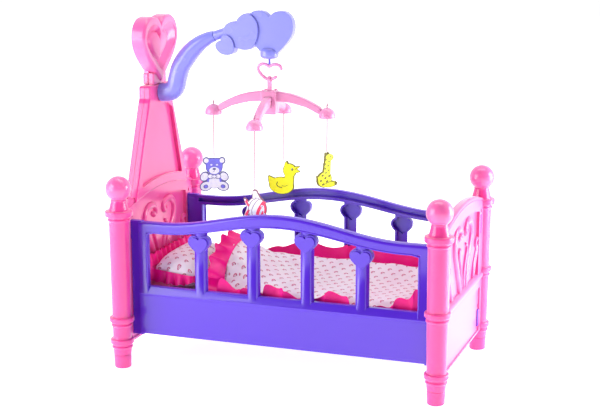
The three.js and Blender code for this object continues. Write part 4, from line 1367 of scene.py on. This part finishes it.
def make_quilt_frills(pink, quilt):
    def spread(low, high):
        count = int((high - low) / EDGE_STEP)
        return [low + (high - low) * i / count for i in range(count + 1)]

    def quilt_frill(end, edge, outward, width, pleat, depth):
        name = f"quilt_frill_{end}"
        frill(name, edge, lambda i: Vector(outward), width, pleat, depth, pink, "quilt_cover")

    xs = spread(QUILT_HEAD, 200)
    ys = spread(-80, 80)
    for end, y, z, lean, tops, pleat in (("front", -85.2, 97.0, -0.02, FRONT_FRILL, 30.0),
                                         ("rear", 83.4, 119.0, 0.02, REAR_FRILL, 58.0)):
        edge = [Vector((x, y, z)) for x in xs]
        quilt_frill(end, edge, (0, lean, 1), lambda i: lerp_table(tops, xs[i]) - z, pleat, 1.9)
    foot_edge = [Vector((200.6, y, 98.0)) for y in ys]
    quilt_frill("foot", foot_edge, (0.03, 0, 1), lambda i: lerp_table(FOOT_FRILL, ys[i]), 44.0, 1.4)
    head = smooth_path([(QUILT_HEAD + 3, y, z - 2) for y, z in HEAD_EDGE], 14)
    quilt_frill("head", head, (-1, 0, 0.22), lambda i: 27.0, 25.0, 4.6)


PILLOW_MIDDLE = Vector((-167.0, 0.0, 121.0))
PILLOW_HALF = (34.0, 71.0, 27.0)
PILLOW_TILT = math.radians(6)


def make_pillow(pink):
    long_half, wide_half, thick = PILLOW_HALF
    turn = Matrix.Rotation(PILLOW_TILT, 3, "Y")
    columns, rows = 22, 44

    def to_local(place):
        return turn.inverted() @ (place - PILLOW_MIDDLE)

    def point(side, u, v):
        crown = (1 - abs(u) ** 2.6) ** 0.55 * (1 - abs(v) ** 3.4) ** 0.55
        pull = 1 - 0.045 * (abs(u) ** 2 + abs(v) ** 2) * (1 - abs(abs(u) - abs(v)))
        local = Vector((u * long_half * pull, v * wide_half * pull, side * (1.2 + thick * 0.88 * crown)))
        return PILLOW_MIDDLE + turn @ local

    upper, lower = [[[point(side, -1 + 2 * i / columns, -1 + 2 * j / rows) for j in range(rows + 1)]
                     for i in range(columns + 1)] for side in (1, -1)]
    pillow = puff(stitched(upper, lower), 4.5, 4.0, 5.0)

    def wrinkles(place):
        local = to_local(place)
        rim_u = abs(local.x) / long_half
        rim_v = abs(local.y) / wide_half
        near_seam = max(rim_u, rim_v) ** 6
        tucks = math.sin(local.y / 3.1) if rim_u > rim_v else math.sin(local.x / 3.1)
        return 0.5 * noise.noise(place / 9) - 0.8 * near_seam * tucks

    crease(pillow, wrinkles, ((-205, -128), (-77, 77), (BED_TOP + 0.5, 153)))
    cotton = printed_cotton("pillow_print", PILLOW_TILT)
    finish_piece(pillow, "pillow_cushion_pad", cotton, "pillow_cushion", ["pillow"], 180)
    corners = fillet([(-long_half, -wide_half, 12), (long_half, -wide_half, 12), (long_half, wide_half, 12),
                      (-long_half, wide_half, 12)], 8)
    ring = [PILLOW_MIDDLE + turn @ Vector((a, b, 4)) for a, b in corners]
    dense = []
    for a, b in zip(ring, ring[1:] + ring[:1]):
        count = max(1, round((b - a).length / EDGE_STEP))
        dense += [a.lerp(b, k / count) for k in range(count)]
    start = min(range(len(dense)), key=lambda k: (dense[k] - Vector((-133, 60, 120))).length)
    dense = dense[start:] + dense[:start + 1]

    def out(i):
        offset = to_local(dense[i])
        away = Vector((offset.x / long_half, offset.y / wide_half, 0))
        head_side = max(0.0, -away.x) ** 4 * (1 - max(0.0, abs(away.y) - 0.7))
        side = abs(away.y) ** 4
        lift = 2.2 * head_side - 1.5 * side * (1 - head_side) - 0.2
        level = Vector((math.copysign(abs(away.x) ** 5, away.x), math.copysign(abs(away.y) ** 5, away.y), 0))
        return level.normalized() * (0.62 - 0.3 * side) + Vector((0, 0, lift))

    def reach(i):
        """Narrower on the side towards the quilt, so that the pillow lifts out past the quilt's ruffle."""
        return 17.0 - 10.0 * max(0.0, to_local(dense[i]).x / long_half) ** 2

    frill("pillow_frill", dense, out, reach, 16.0, 2.8, pink, "pillow_cushion")


def make_mattress():
    low, high = [[c / MM for c in corner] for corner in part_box("mattress")]
    inset = 1.2
    tuft_pitch = 34
    seam_z = 73.4
    mattress = block(low[0] + inset, high[0] - inset, low[1] + inset, high[1] - inset,
                     low[2] + 0.4, high[2] - 0.8, 6, 5)
    voxels(mattress, 5)

    def quilting(place):
        u, v = place.x / tuft_pitch, place.y / tuft_pitch
        button = math.exp(-9 * (0.5 - abs(u % 1 - 0.5)) ** 2 - 9 * (0.5 - abs(v % 1 - 0.5)) ** 2)
        seam = math.exp(-((place.z - seam_z) / 1.6) ** 2)
        return -1.6 * button - 1.0 * seam + 0.4 * noise.noise(place / 12)

    crease(mattress, quilting, ((low[0], high[0]), (low[1], high[1]), (low[2] + 0.2, high[2] - 0.1)))
    cotton = printed_cotton("mattress_print")
    finish_piece(mattress, "mattress_pad", cotton, "cot", ["mattress"], 180)


def make_base():
    low, high = [[c / MM for c in corner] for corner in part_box("bed_base")]
    base = block(low[0], high[0], low[1], high[1], low[2], high[2], 0.8, 3)
    slots = [block(x - 12, x + 12, y - 2.5, y + 2.5, low[2] - 2, high[2] + 2)
             for x in (-150, -90, -30, 30, 90, 150) for y in (-50, 0, 50)]
    cut(base, *slots)
    finish_piece(base, "base_panel", VIOLET, "cot", ["bed_base"])


# ---------------------------------------------------------------- assembly

def make_floor():
    bm = bmesh.new()
    bmesh.ops.create_grid(bm, x_segments=1, y_segments=1, size=6000)
    floor = link_temp(bm, "floor")
    n = Nodes("pale_floor")
    n.set(
        Base_Color=n.mix(n.noise(3.0), (0.97, 0.97, 0.975, 1), (0.98, 0.98, 0.98, 1)),
        Roughness=0.7, Emission_Color=(1, 1, 1, 1), Emission_Strength=0.8,
    )
    floor.data.materials.append(n.material)


make_camera()
for hanger_name in HANGERS:
    make_string(hanger_name)
make_light()
make_floor()
for end_name in ENDS:
    for side_name in SIDES:
        make_post(end_name, side_name)
    make_board(end_name)
for side_name in SIDES:
    make_rail(side_name)
make_tower()
make_finial()
make_arm()
make_bracket()
make_hook()
make_cross()
make_caps()
make_figures()
make_base()
make_mattress()
hot_pink = satin("hot_pink_satin", rgb(255, 0, 146), rgb(226, 0, 100))
make_quilt_frills(hot_pink, make_quilt())
make_pillow(hot_pink)
